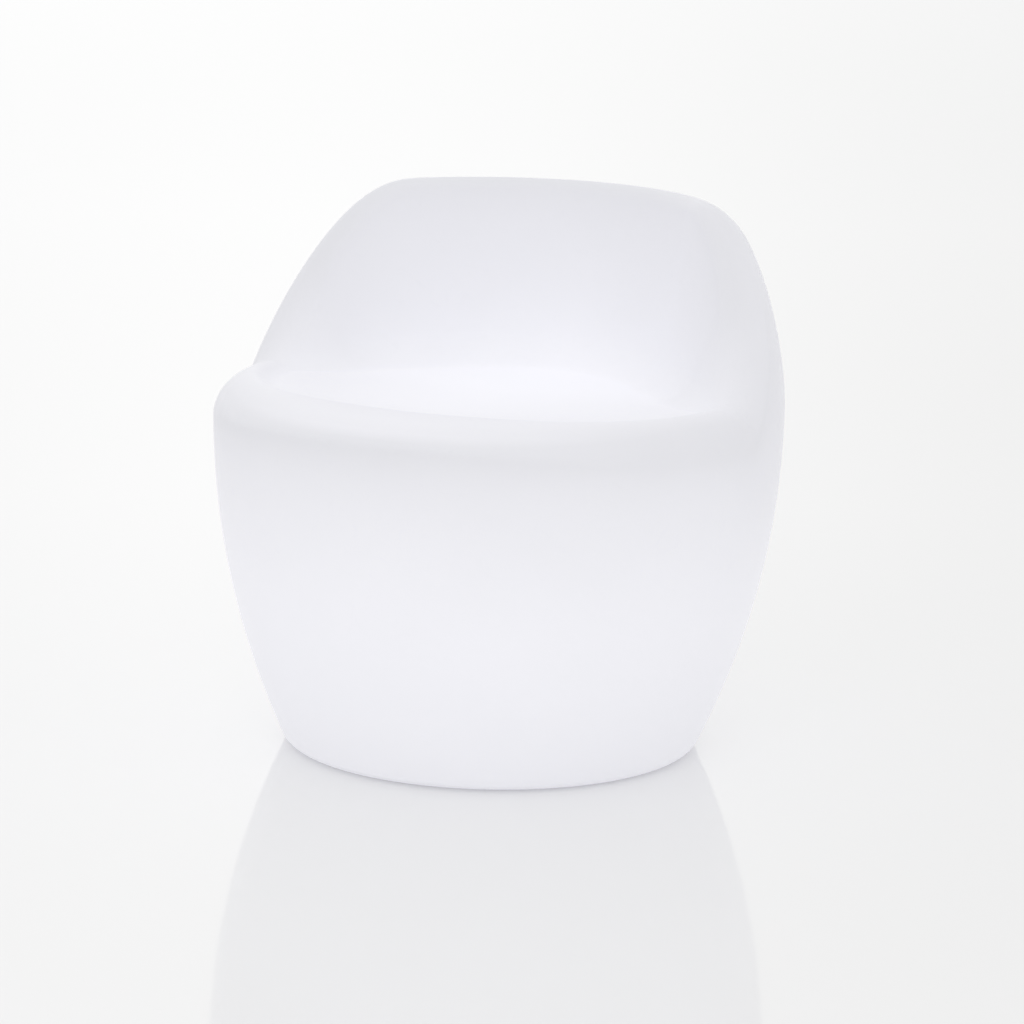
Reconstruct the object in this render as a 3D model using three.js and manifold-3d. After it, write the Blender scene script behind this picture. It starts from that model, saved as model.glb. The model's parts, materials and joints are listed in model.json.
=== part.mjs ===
// LED light-up stool with a low backrest. Millimetres, +Z up, front towards -Y.
// The origin lies on the floor under the middle of the stool's outline.
import * as THREE from 'three';
import { mergeVertices } from 'three/addons/utils/BufferGeometryUtils.js';
import Module from 'manifold-3d';

const wasm = await Module();
wasm.setup();

// Counts of flat facets that stand for round shapes
const shellFacets = 48;
const roundFacets = 28;
const midFacets = 14;
const smallFacets = 8;
const hexFacets = 6;
const wireFacets = 6;
const wireSteps = 14;
const cornerSteps = 4;
const domeSteps = 6;

// Clearances
const seatGap = 0.25;
const slideGap = 0.3;
const cutOverrun = 1;
const mergeDistance = 0.00001;

// Shell: the barrel's reach from its axis at its base, its widest and its top
const shellWall = 4.5;
const baseReach = 209;
const sideReach = 290;
const frontReach = 277;
const rearReach = 305;
const sideTopReach = 227;
const frontTopReach = 210;
const rearTopReach = 232;
const widestHeight = 354;
const rearWidestHeight = 400;
const lowerPower = 2.15;
const upperPower = 1.67;
const rearUpperPower = 3.5;

// Shell: heights of the rim and of the seat. The rim is a little higher at the sides.
const backHeight = 556;
const frontRimHeight = 373;
const sideRimRise = 1;
const seatHeight = 365;

// Shell: the rim's climb from the arms to the back, in degrees from the front
const armStart = 87.3;
const armEnd = 131;
const armPower = 0.6;
const sideBlendEnd = 85;
const sideDirection = 90;

// Shell: the rim's roll and the drop behind it, at the front, the sides and the back
const rollHeight = { front: 23, side: 41, rear: 37 };
const rollDepth = { front: 80, side: 35, rear: 19 };
const lipRadius = { front: 50, side: 35, rear: 14 };
const creaseRadius = { front: 70, side: 70, rear: 40 };
const dropSlope = { front: 26, side: 34, rear: 81 };
const dropShare = 0.92;
const seatFlatShare = 0.5;
const facingStepShare = 0.001;
const wallRowPower = 1.25;

// Shell: base edge, well under the base and the hole for the light module
const baseEdgeRadius = 8;
const wellDepth = 34;
const wellRoofMargin = 4;
const wellCornerRadius = 10;
const wellMouthRadius = 14;
const wellSlope = 65;
const moduleHoleMargin = 2;

// Foot pads
const footCount = 4;
const footCircle = 162;
const footTurn = 45;
const footRadius = 15;
const footHeight = 6;
const footStandOut = 2;
const footRecessMargin = 1.2;
const footScrewSink = 0.8;
const footBossRadius = 9;
const footBossCover = 2.3;

// Screws: head radius and height, shank radius, length, hex socket radius and depth
const bodyScrew = { head: 4, headHeight: 2.4, shank: 2, length: 13, socket: 1.5, socketDepth: 1.3 };
const smallScrew = { head: 2.8, headHeight: 1.8, shank: 1.4, length: 8, socket: 1.1, socketDepth: 1 };
const screwHoleGap = 0.2;
const screwTipShare = 0.33;
const screwEdgeShare = 0.45;
const screwTopShare = 0.72;

// Light module: base plate with flange and tub
const flangeWidth = 28;
const flangeThickness = 4;
const flangeEdgeRadius = 1.5;
const tubRadius = 66;
const tubWall = 3;
const flangeScrewCount = 6;
const flangeScrewTurn = 30;
const flangeScrewRecess = 1.4;
const gripRingMargin = 4;
const gripRingWidth = 4;
const gripRingHeight = 1.6;
const gasketThickness = 2;
const gasketInset = 2.5;
const insertRadius = 3.1;
const insertLength = 9;
const insertBossRadius = 7.5;
const insertBossCover = 3.5;

// Light module: carrier, light board, dome and seal
const domeScrewCount = 3;
const domeScrewTurn = 30;
const domeBossRadius = 4;
const carrierMargin = 0.6;
const carrierThickness = 2;
const wireHoleRadius = 4;
const wireHoleInset = 5;
const lightBoardMargin = 2.8;
const lightBoardThickness = 1.6;
const ledCount = 6;
const ledInset = 19;
const ledSize = 5;
const ledHeight = 1.6;
const ledLensShare = 0.36;
const ledLensFootShare = 0.8;
const sealWidth = 2.4;
const sealThickness = 1.5;
const domeFlangeThickness = 2.5;
const domeFlangeWidth = 11;
const domeRise = 26;
const domeWall = 2.2;
const domePressMargin = 2.4;

// Cells, their tray and strap
const cellSpacing = 1.6;
const cellCapRadius = 2.9;
const cellCapHeight = 1;
const cellEdgeRadius = 0.9;
const cellHeadroom = 1.9;
const trayWall = 2;
const trayFloor = 1.5;
const trayInset = 2.55;
const trayMargin = 17.55;
const trayCornerGap = 5.11;
const strapWidth = 12;
const strapThickness = 1.2;
const strapFoot = 8;
const strapBossRadius = 3.6;

// Control board and what it carries
const boardThickness = 1.6;
const boardInset = 10;
const boardMargin = 15;
const boardCornerGap = 8.4;
const boardHeight = 15;
const boardCornerRadius = 4;
const boardBossRadius = 3.4;
const boardScrewInset = 4.5;
const boardPlaceShares = { chip: [-0.25, 0.2], coil: [0.2, 0.2], capacitor: [0.33, -0.2] };
const chipSize = 8;
const chipHeight = 1.2;
const coilRadius = 5;
const coilHeight = 4.2;
const coilWaist = 3.6;
const coilRim = 1.1;
const coilSlope = 0.4;
const capacitorRadius = 3;
const capacitorHeight = 5.4;
const capacitorEdge = 0.6;
const capacitorHeadroom = 1.5;
const switchSize = 6.2;
const switchHeight = 3.4;
const switchPlungerRadius = 1.7;
const switchBodyShare = 0.7;

// Power button
const buttonX = 14;
const buttonY = -29;
const buttonRadius = 9;
const buttonCapHeight = 3.6;
const buttonStandOut = 0.8;
const buttonDish = 0.7;
const buttonDishShare = 0.7;
const buttonStemRadius = 3;
const buttonTravel = 1.2;
const buttonCollarRadius = 4.2;
const buttonCollarHeight = 1.2;
const buttonWellDepth = 9;
const buttonWellWall = 2.4;
const springWireRadius = 0.4;
const springTurns = 4;
const springStepsPerTurn = 8;

// Charging socket and its cap
const socketX = -15;
const socketY = -29;
const socketBarrelRadius = 5.4;
const socketBarrelLength = 9;
const socketFlangeRadius = 7;
const socketFlangeThickness = 1.4;
const socketBoreRadius = 3.2;
const socketBoreDepth = 9.2;
const socketPinRadius = 1;
const nutRadius = 8;
const nutThickness = 2.2;
const capRadius = 8.4;
const capThickness = 2;
const capPlugMargin = 0.4;
const capStrapWidth = 8;
const capHingeDistance = 12.5;
const capTabReach = 3;
const anchorLength = 6;
const anchorStemRadius = 2;
const anchorBarbRadius = 2.8;
const anchorBarbHeight = 1.6;

// Wires
const wireRadius = 0.8;
const wireSpread = 3;

// Finishes, by colour, roughness and metalness
const finishes = {
  shell: new THREE.MeshStandardMaterial({ color: 0xf2f3f6, roughness: 0.42, metalness: 0 }),
  housing: new THREE.MeshStandardMaterial({ color: 0xe9e9e6, roughness: 0.45, metalness: 0 }),
  rubber: new THREE.MeshStandardMaterial({ color: 0x2b2b2d, roughness: 0.8, metalness: 0 }),
  silicone: new THREE.MeshStandardMaterial({ color: 0xc9cacc, roughness: 0.6, metalness: 0 }),
  steel: new THREE.MeshStandardMaterial({ color: 0xb9bcc0, roughness: 0.35, metalness: 1 }),
  brass: new THREE.MeshStandardMaterial({ color: 0xc9a24a, roughness: 0.4, metalness: 1 }),
  aluminium: new THREE.MeshStandardMaterial({ color: 0xc4c7ca, roughness: 0.4, metalness: 1 }),
  board: new THREE.MeshStandardMaterial({ color: 0x1f5a36, roughness: 0.5, metalness: 0 }),
  lightBoard: new THREE.MeshStandardMaterial({ color: 0xf0f0ee, roughness: 0.4, metalness: 0 }),
  led: new THREE.MeshStandardMaterial({ color: 0xfff4c8, roughness: 0.3, metalness: 0 }),
  dome: new THREE.MeshStandardMaterial({ color: 0xf7f8fa, roughness: 0.3, metalness: 0 }),
  black: new THREE.MeshStandardMaterial({ color: 0x1b1b1d, roughness: 0.5, metalness: 0 }),
  cell: new THREE.MeshStandardMaterial({ color: 0x3d7fae, roughness: 0.4, metalness: 0 }),
  redWire: new THREE.MeshStandardMaterial({ color: 0xb3262a, roughness: 0.5, metalness: 0 }),
  blackWire: new THREE.MeshStandardMaterial({ color: 0x202022, roughness: 0.5, metalness: 0 }),
};

// Half the length of a straight line across a circle, at a distance from its middle
function chordHalf(radius, distance) {
  return Math.sqrt(radius * radius - distance * distance);
}

// Heights and radii worked out from the sizes above
const shellBase = footStandOut;
const footSocketTop = footHeight + seatGap;
const footRecessRadius = bodyScrew.head + footRecessMargin;
const footRecessDepth = bodyScrew.headHeight + footScrewSink;
const footScrewTip = footRecessDepth - seatGap + bodyScrew.length;
const wellRoof = shellBase + wellDepth;
const gasketTop = wellRoof - seatGap;
const gasketBottom = gasketTop - gasketThickness;
const flangeTop = gasketBottom - seatGap;
const flangeBottom = flangeTop - flangeThickness;
const trayBottom = flangeTop + seatGap;
const tubInside = tubRadius - tubWall;
const trayOuterY = tubInside - trayMargin;
const trayWidth = trayOuterY - trayInset;
const trayLength = 2 * chordHalf(tubInside - trayCornerGap, trayOuterY);
const cellRowY = trayInset + trayWidth / 2;
const cellRadius = (trayWidth - cellSpacing) / 4 - (seatGap + trayWall) / 2;
const cellLength = trayLength - 2 * (cellCapHeight + seatGap + trayWall);
const cellHeight = trayBottom + trayFloor + seatGap + cellRadius;
const strapTop = cellHeight + cellRadius + seatGap;
const boardBottom = flangeTop + boardHeight;
const boardTop = boardBottom + boardThickness;
const strapClear = strapTop + strapThickness + cellHeadroom;
const boardClear = boardTop + capacitorHeight + capacitorHeadroom;
const carrierBottom = Math.max(strapClear, boardClear);
const carrierTop = carrierBottom + carrierThickness;
const bossTop = carrierBottom - seatGap;
const tubTop = carrierTop;
const sealBottom = tubTop + seatGap;
const domeFlangeBottom = sealBottom + sealThickness + seatGap;
const domeFlangeTop = domeFlangeBottom + domeFlangeThickness;
const lightBoardBottom = carrierTop + seatGap;
const lightBoardTop = lightBoardBottom + lightBoardThickness;
const boardOuterY = tubInside - boardMargin;
const boardWidth = boardOuterY - boardInset;
const boardMiddleY = -(boardInset + boardOuterY) / 2;
const boardCornerReach = tubInside - boardCornerGap - boardCornerRadius;
const boardCornerX = chordHalf(boardCornerReach, boardOuterY - boardCornerRadius);
const boardLength = 2 * (boardCornerX + boardCornerRadius);
const bodyMiddleY = (rearReach - frontReach) / 2;
const moduleHoleRadius = tubRadius + moduleHoleMargin;
const flangeRadius = tubRadius + flangeWidth;
const gripRingInner = tubRadius + gripRingMargin;
const gripRingOuter = gripRingInner + gripRingWidth;
const wellRoofRadius = flangeRadius + wellRoofMargin;
const gasketInner = moduleHoleRadius + gasketInset;
const gasketOuter = flangeRadius - gasketInset;
const flangeScrewCircle = (gasketInner + gasketOuter) / 2;
const carrierRadius = tubInside - carrierMargin;
const sealMiddle = tubRadius - tubWall / 2;
const domePressOuter = carrierRadius - domePressMargin;
const domeRadius = domePressOuter - domeFlangeWidth;
const domePressInner = domeRadius - domeWall;
const lightBoardRadius = domePressInner - lightBoardMargin;
const ledCircle = lightBoardRadius - ledInset;
const wireHoleY = wireHoleInset - lightBoardRadius;
const domeScrewCircle = (domeRadius + domePressOuter) / 2;
const cellPitch = 2 * cellRadius + cellSpacing;
const springCoilRadius = (buttonStemRadius + buttonRadius) / 2;

const radians = THREE.MathUtils.degToRad;

// Rises from 0 to 1 with no kink at either end.
function smooth(value) {
  const t = THREE.MathUtils.clamp(value, 0, 1);
  return t * t * t * (t * (6 * t - 15) + 10);
}

// Solids: meshes with merged corners are joined and cut as closed bodies.
function solidOf(geometry) {
  const bare = geometry.clone();
  bare.deleteAttribute('normal');
  bare.deleteAttribute('uv');
  const merged = mergeVertices(bare, mergeDistance);
  const corners = Array.from(merged.index.array);
  const triangles = [];
  for (let i = 0; i < corners.length; i += 3) {
    const [a, b, c] = corners.slice(i, i + 3);
    if (a !== b && b !== c && c !== a) {
      triangles.push(a, b, c);
    }
  }
  return new wasm.Manifold(new wasm.Mesh({
    numProp: 3,
    vertProperties: new Float32Array(merged.attributes.position.array),
    triVerts: new Uint32Array(triangles),
  }));
}

function geometryOf(solid) {
  const mesh = solid.getMesh();
  const geometry = new THREE.BufferGeometry();
  geometry.setAttribute('position', new THREE.BufferAttribute(mesh.vertProperties, 3));
  geometry.setIndex(new THREE.BufferAttribute(mesh.triVerts, 1));
  geometry.computeVertexNormals();
  return geometry;
}

function joined(first, ...others) {
  return geometryOf(others.reduce((body, other) => body.add(solidOf(other)), solidOf(first)));
}

function cut(body, ...tools) {
  return geometryOf(tools.reduce((rest, tool) => rest.subtract(solidOf(tool)), solidOf(body)));
}

// A body turned about Z, from an outline of radius and height listed upwards along its outside.
function turned(outline, facets = roundFacets) {
  const points = outline.map(([radius, height]) => new THREE.Vector2(radius, height));
  return geometryOf(solidOf(new THREE.LatheGeometry(points, facets).rotateX(Math.PI / 2)));
}

// A tube turned about Z between two radii and two heights.
function ring(inner, outer, bottom, top, facets = roundFacets) {
  return turned([[inner, bottom], [outer, bottom], [outer, top], [inner, top], [inner, bottom]], facets);
}

// An upright cylinder between two heights.
function post(x, y, radius, bottom, top, facets = smallFacets) {
  const cylinder = new THREE.CylinderGeometry(radius, radius, top - bottom, facets);
  return cylinder.rotateX(Math.PI / 2).translate(x, y, (bottom + top) / 2);
}

// A box from its middle in X and Y, its width, depth, bottom and top.
function block(x, y, width, depth, bottom, top) {
  return new THREE.BoxGeometry(width, depth, top - bottom).translate(x, y, (bottom + top) / 2);
}

// Places around the axis: count places on a circle, the first turned by so many degrees.
function around(count, circle, turn) {
  return Array.from({ length: count }, (_, i) => {
    const angle = radians(turn) + (2 * Math.PI * i) / count;
    return { x: circle * Math.cos(angle), y: circle * Math.sin(angle) };
  });
}

// The wall's reach from the axis at a height, for one of its directions.
function wallReach(height, widest, top, widestAt, power) {
  if (height < widestAt) {
    const below = THREE.MathUtils.clamp((widestAt - height) / widestAt, 0, 1);
    return widest - (widest - baseReach) * below ** lowerPower;
  }
  const above = (height - widestAt) / (backHeight - widestAt);
  return widest - (widest - top) * above ** power;
}

// The barrel's outer radius in a direction, counted from the front towards +X.
function barrelRadius(direction, height) {
  const side = wallReach(height, sideReach, sideTopReach, widestHeight, upperPower);
  const end = Math.cos(direction) > 0
    ? wallReach(height, frontReach, frontTopReach, widestHeight, upperPower)
    : wallReach(height, rearReach, rearTopReach, rearWidestHeight, rearUpperPower);
  return 1 / Math.hypot(Math.sin(direction) / side, Math.cos(direction) / end);
}

// How far the rim has climbed from the arm's start (0) to the back (1).
function armClimb(degrees) {
  const share = THREE.MathUtils.clamp((degrees - armStart) / (armEnd - armStart), 0, 1);
  return smooth(share ** armPower);
}

// The rim's height and the section's sizes in a direction.
function rimSizes(direction) {
  const degrees = Math.abs(THREE.MathUtils.radToDeg(direction));
  const climb = armClimb(degrees);
  const low = frontRimHeight + sideRimRise * Math.sin(radians(Math.min(degrees, sideDirection))) ** 2;
  const toSide = smooth(degrees / sideBlendEnd);
  const toRear = 1 - (1 - climb) ** 2;
  const mix = (size) => {
    const near = THREE.MathUtils.lerp(size.front, size.side, toSide);
    return THREE.MathUtils.lerp(near, size.rear, toRear);
  };
  return {
    height: THREE.MathUtils.lerp(low, backHeight, climb),
    rollHeight: mix(rollHeight),
    rollDepth: mix(rollDepth),
    lip: mix(lipRadius),
    crease: mix(creaseRadius),
    slope: radians(mix(dropSlope)),
  };
}

// A soft step down: an arc over the edge, a straight slope and an arc into the floor.
function softStep(height, edgeRadius, footRadiusWanted, slope) {
  const bend = 1 - Math.cos(slope);
  const fit = Math.min(1, (dropShare * height) / ((edgeRadius + footRadiusWanted) * bend));
  const edge = edgeRadius * fit;
  const foot = footRadiusWanted * fit;
  const straight = (height - (edge + foot) * bend) / Math.sin(slope);
  const footRun = edge * Math.sin(slope) + straight * Math.cos(slope);
  return {
    run: footRun + foot * Math.sin(slope),
    edgeArc: (share) => ({
      run: edge * Math.sin(slope * share),
      fall: edge * (1 - Math.cos(slope * share)),
    }),
    straight: (share) => ({
      run: edge * Math.sin(slope) + share * straight * Math.cos(slope),
      fall: edge * bend + share * straight * Math.sin(slope),
    }),
    footArc: (share) => ({
      run: footRun + foot * (Math.sin(slope) - Math.sin(slope * (1 - share))),
      fall: height - foot * (1 - Math.cos(slope * (1 - share))),
    }),
  };
}

// The shell's outer section in a direction, as stretches from the module hole to the seat's middle.
// Each stretch gives radius and height for a share of it, with rows for the outside and the inside.
function shellSection(direction) {
  const rim = rimSizes(direction);
  const well = softStep(wellDepth, wellCornerRadius, wellMouthRadius, radians(wellSlope));
  const inWell = (part) => (share) => {
    const { run, fall } = part(share);
    return [wellRoofRadius + run, wellRoof - fall];
  };
  const edgeTop = shellBase + baseEdgeRadius;
  const edgeStart = barrelRadius(direction, shellBase) - baseEdgeRadius;
  const rollStart = rim.height - rim.rollHeight;
  const crest = barrelRadius(direction, rim.height) - rim.rollDepth;
  const drop = softStep(rim.height - seatHeight, rim.lip, rim.crease, rim.slope);
  const inSeat = (part) => (share) => {
    const { run, fall } = part(share);
    return [crest - run, rim.height - fall];
  };
  const quarter = Math.PI / 2;
  const { lerp } = THREE.MathUtils;
  return [
    { rows: 1, innerRows: 1, at: (s) => [lerp(moduleHoleRadius, wellRoofRadius, s), wellRoof] },
    { rows: 2, innerRows: 1, at: inWell(well.edgeArc) },
    { rows: 1, innerRows: 1, at: inWell(well.straight) },
    { rows: 2, innerRows: 1, at: inWell(well.footArc) },
    { rows: 1, innerRows: 1, at: (s) => [lerp(wellRoofRadius + well.run, edgeStart, s), shellBase] },
    {
      rows: 3,
      innerRows: 1,
      at: (s) => {
        const height = edgeTop - baseEdgeRadius * Math.cos(quarter * s);
        const depth = baseEdgeRadius * (1 - Math.sin(quarter * s));
        return [barrelRadius(direction, height) - depth, height];
      },
    },
    {
      rows: 10,
      innerRows: 5,
      at: (s) => {
        const height = lerp(edgeTop, rollStart, 1 - (1 - s) ** wallRowPower);
        return [barrelRadius(direction, height), height];
      },
    },
    {
      rows: 6,
      innerRows: 3,
      at: (s) => {
        const height = rollStart + rim.rollHeight * Math.sin(quarter * s);
        const depth = rim.rollDepth * (1 - Math.cos(quarter * s));
        return [barrelRadius(direction, height) - depth, height];
      },
    },
    { rows: 3, innerRows: 2, at: inSeat(drop.edgeArc) },
    { rows: 4, innerRows: 2, at: inSeat(drop.straight) },
    { rows: 4, innerRows: 2, at: inSeat(drop.footArc) },
    { rows: 1, innerRows: 1, at: (s) => [(crest - drop.run) * (1 - s * seatFlatShare), seatHeight] },
  ];
}

// A point of the shell's outside, and the direction in which it faces.
function shellPoint(direction, stretch, share) {
  const [radius, height] = shellSection(direction)[stretch].at(share);
  return new THREE.Vector3(radius * Math.sin(direction), -radius * Math.cos(direction), height);
}

function shellFacing(direction, stretch, share) {
  const step = facingStepShare;
  const low = Math.max(share - step, 0);
  const high = Math.min(share + step, 1);
  const across = shellPoint(direction + step, stretch, share);
  const along = shellPoint(direction, stretch, high);
  across.sub(shellPoint(direction - step, stretch, share));
  along.sub(shellPoint(direction, stretch, low));
  return across.cross(along).normalize();
}

// Rows of points round the axis, pushed inwards by a wall, and one last point at the seat's middle.
function shellGrid(rowKey, wall) {
  const sample = shellSection(0);
  const rows = [];
  sample.forEach((part, stretch) => {
    const count = part[rowKey];
    const last = stretch === sample.length - 1 ? count : count - 1;
    for (let row = 0; row <= last; row += 1) {
      const points = [];
      for (let i = 0; i < shellFacets; i += 1) {
        const direction = -Math.PI + (2 * Math.PI * i) / shellFacets;
        const facing = shellFacing(direction, stretch, row / count);
        points.push(shellPoint(direction, stretch, row / count).addScaledVector(facing, -wall));
      }
      rows.push(points);
    }
  });
  return { rows, middle: new THREE.Vector3(0, 0, seatHeight - wall) };
}

// The shell's closed surface: its outside, its inside turned round and the edge of the module hole.
function shellSurface() {
  const positions = [];
  const triangles = [];
  const addGrid = ({ rows, middle }, facesIn) => {
    const start = positions.length / 3;
    rows.flat().concat(middle).forEach((point) => positions.push(point.x, point.y, point.z));
    const corner = (i, row) => start + row * shellFacets + (i % shellFacets);
    const addTriangle = (a, b, c) => triangles.push(a, facesIn ? c : b, facesIn ? b : c);
    const lastRow = rows.length - 1;
    for (let i = 0; i < shellFacets; i += 1) {
      for (let row = 0; row < lastRow; row += 1) {
        addTriangle(corner(i, row), corner(i + 1, row), corner(i + 1, row + 1));
        addTriangle(corner(i, row), corner(i + 1, row + 1), corner(i, row + 1));
      }
      addTriangle(corner(i, lastRow), corner(i + 1, lastRow), start + rows.length * shellFacets);
    }
    return start;
  };
  const outside = addGrid(shellGrid('rows', 0), false);
  const inside = addGrid(shellGrid('innerRows', shellWall), true);
  for (let i = 0; i < shellFacets; i += 1) {
    const next = (i + 1) % shellFacets;
    triangles.push(outside + next, outside + i, inside + i);
    triangles.push(outside + next, inside + i, inside + next);
  }
  const geometry = new THREE.BufferGeometry();
  geometry.setAttribute('position', new THREE.Float32BufferAttribute(positions, 3));
  geometry.setIndex(triangles);
  return geometry;
}

const footPlaces = around(footCount, footCircle, footTurn);
const flangeScrewPlaces = around(flangeScrewCount, flangeScrewCircle, flangeScrewTurn);
const domeScrewPlaces = around(domeScrewCount, domeScrewCircle, domeScrewTurn);

// The shell with the bosses that hold its thread inserts and foot screws.
function shellGeometry() {
  const bosses = [];
  const holes = [];
  const inWall = shellWall / 2;
  const cupRadius = footRadius + slideGap;
  const screwRadius = bodyScrew.shank + screwHoleGap;
  const footBossTop = footScrewTip + cutOverrun + footBossCover;
  footPlaces.forEach(({ x, y }) => {
    bosses.push(post(x, y, cupRadius + shellWall, shellBase + inWall, footSocketTop + shellWall, midFacets));
    bosses.push(post(x, y, footBossRadius, footSocketTop + inWall, footBossTop));
    holes.push(post(x, y, cupRadius, shellBase - cutOverrun, footSocketTop, midFacets));
    holes.push(post(x, y, screwRadius, shellBase, footScrewTip + cutOverrun));
  });
  const insertHoleTop = wellRoof + insertLength + cutOverrun;
  const insertBossTop = insertHoleTop + insertBossCover;
  flangeScrewPlaces.forEach(({ x, y }) => {
    bosses.push(post(x, y, insertBossRadius, wellRoof + inWall, insertBossTop));
    holes.push(post(x, y, insertRadius + screwHoleGap, wellRoof - cutOverrun, insertHoleTop));
  });
  return cut(joined(shellSurface(), ...bosses), ...holes);
}

// A pan-head screw with a hex socket. Its head's seat lies at zero, and its shank points down.
function screwGeometry(size) {
  const tip = size.shank * screwTipShare;
  const body = turned([
    [0, -size.length],
    [size.shank - tip, -size.length],
    [size.shank, -size.length + tip],
    [size.shank, 0],
    [size.head, 0],
    [size.head, size.headHeight * screwEdgeShare],
    [size.head * screwTopShare, size.headHeight],
    [0, size.headHeight],
  ], smallFacets);
  const top = size.headHeight + cutOverrun;
  return cut(body, post(0, 0, size.socket, size.headHeight - size.socketDepth, top, hexFacets));
}

const bodyScrewGeometry = screwGeometry(bodyScrew);
const smallScrewGeometry = screwGeometry(smallScrew);

// Foot pads sit in round sockets in the shell's base, each on one screw.
function footPadGeometry() {
  const edge = footStandOut / 2;
  const screwHole = bodyScrew.shank + screwHoleGap;
  return turned([
    [footRecessRadius, 0],
    [footRadius - edge, 0],
    [footRadius, edge],
    [footRadius, footHeight],
    [screwHole, footHeight],
    [screwHole, footRecessDepth],
    [footRecessRadius, footRecessDepth],
    [footRecessRadius, 0],
  ], midFacets);
}

// The base plate's underside is a flat disc with screw recesses and a grip ring.
function flangeOutline() {
  return [
    [0, flangeBottom],
    [gripRingInner, flangeBottom],
    [gripRingInner + gripRingHeight / 2, flangeBottom - gripRingHeight],
    [gripRingOuter - gripRingHeight / 2, flangeBottom - gripRingHeight],
    [gripRingOuter, flangeBottom],
    [flangeRadius - flangeEdgeRadius, flangeBottom],
    [flangeRadius, flangeBottom + flangeEdgeRadius],
    [flangeRadius, flangeTop],
    [tubRadius, flangeTop],
    [tubRadius, tubTop],
    [tubRadius - tubWall, tubTop],
    [tubRadius - tubWall, flangeTop],
    [0, flangeTop],
  ];
}

// Places of the control board's bosses.
const boardScrewPlaces = [
  { x: boardLength / 2 - boardScrewInset, y: boardMiddleY + boardWidth / 2 - boardScrewInset },
  { x: boardScrewInset - boardLength / 2, y: boardMiddleY + boardWidth / 2 - boardScrewInset },
  { x: 0, y: boardMiddleY - boardWidth / 2 + boardScrewInset },
];

// Places of the strap's feet, one beyond each side of the tray.
const strapFootY = trayWidth / 2 + seatGap + strapFoot / 2;
const strapScrewPlaces = [
  { x: 0, y: cellRowY + strapFootY },
  { x: 0, y: cellRowY - strapFootY },
];

const buttonWellTop = flangeBottom + buttonWellDepth;
const buttonRoofTop = buttonWellTop + buttonWellWall;

function basePlateGeometry() {
  const additions = [];
  const holes = [];
  const screwHole = (place, screw, top) => {
    const radius = screw.shank + screwHoleGap;
    return post(place.x, place.y, radius, top - screw.length - cutOverrun, top + cutOverrun);
  };
  const inFlange = flangeTop - flangeThickness / 2;
  const below = flangeBottom - cutOverrun;
  const above = flangeTop + cutOverrun;
  domeScrewPlaces.forEach((place) => {
    additions.push(post(place.x, place.y, domeBossRadius, inFlange, bossTop));
    holes.push(screwHole(place, smallScrew, bossTop));
  });
  boardScrewPlaces.forEach((place) => {
    additions.push(post(place.x, place.y, boardBossRadius, inFlange, boardBottom - seatGap));
    holes.push(screwHole(place, smallScrew, boardBottom));
  });
  strapScrewPlaces.forEach((place) => {
    additions.push(post(place.x, place.y, strapBossRadius, inFlange, strapSeat - seatGap));
    holes.push(screwHole(place, smallScrew, strapSeat));
  });
  flangeScrewPlaces.forEach(({ x, y }) => {
    holes.push(post(x, y, bodyScrew.shank + screwHoleGap, below, above));
    holes.push(post(x, y, bodyScrew.head + screwHoleGap, below, flangeBottom + flangeScrewRecess));
  });
  const guideRadius = buttonRadius + slideGap;
  const stemHole = buttonStemRadius + slideGap;
  additions.push(post(buttonX, buttonY, guideRadius + buttonWellWall, inFlange, buttonRoofTop, roundFacets));
  holes.push(post(buttonX, buttonY, guideRadius, below, buttonWellTop, roundFacets));
  holes.push(post(buttonX, buttonY, stemHole, buttonWellTop - cutOverrun, buttonRoofTop + cutOverrun));
  holes.push(post(socketX, socketY, socketBarrelRadius + seatGap, below, above, midFacets));
  holes.push(post(anchorX, socketY, anchorStemRadius + seatGap, below, above));
  return cut(joined(turned(flangeOutline()), ...additions), ...holes);
}

function gasketGeometry() {
  const holes = flangeScrewPlaces.map(({ x, y }) =>
    post(x, y, bodyScrew.shank + 2 * screwHoleGap, gasketBottom - cutOverrun, gasketTop + cutOverrun));
  return cut(ring(gasketInner, gasketOuter, gasketBottom, gasketTop), ...holes);
}

function insertGeometry() {
  const bottom = wellRoof + screwHoleGap;
  return ring(bodyScrew.shank + screwHoleGap / 2, insertRadius, bottom, wellRoof + insertLength, smallFacets);
}

// The carrier's disc carries the light board and lets the light wires through.
function carrierGeometry() {
  const holes = domeScrewPlaces.map(({ x, y }) =>
    post(x, y, smallScrew.shank + screwHoleGap, carrierBottom - cutOverrun, carrierTop + cutOverrun));
  holes.push(post(0, wireHoleY, wireHoleRadius, carrierBottom - cutOverrun, carrierTop + cutOverrun));
  return cut(post(0, 0, carrierRadius, carrierBottom, carrierTop, roundFacets), ...holes);
}

function lightBoardGeometry() {
  const disc = post(0, 0, lightBoardRadius, lightBoardBottom, lightBoardTop, roundFacets);
  const bottom = lightBoardBottom - cutOverrun;
  const top = lightBoardTop + cutOverrun;
  const slotLength = lightBoardRadius + wireHoleY + cutOverrun;
  return cut(
    disc,
    post(0, wireHoleY, wireHoleRadius, bottom, top),
    block(0, wireHoleY - slotLength / 2, 2 * wireHoleRadius, slotLength, bottom, top),
  );
}

function ledGeometry() {
  const body = block(0, 0, ledSize, ledSize, 0, ledHeight);
  const lens = post(0, 0, ledSize * ledLensShare, ledHeight * ledLensFootShare, ledHeight + cutOverrun);
  return cut(body, lens);
}

// A quarter of an ellipse from its foot to its top, in steps.
function quarterArc(reach, rise, bottom, steps) {
  return Array.from({ length: steps + 1 }, (_, i) => {
    const angle = (Math.PI / 2) * (i / steps);
    return [reach * Math.cos(angle), bottom + rise * Math.sin(angle)];
  });
}

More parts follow.
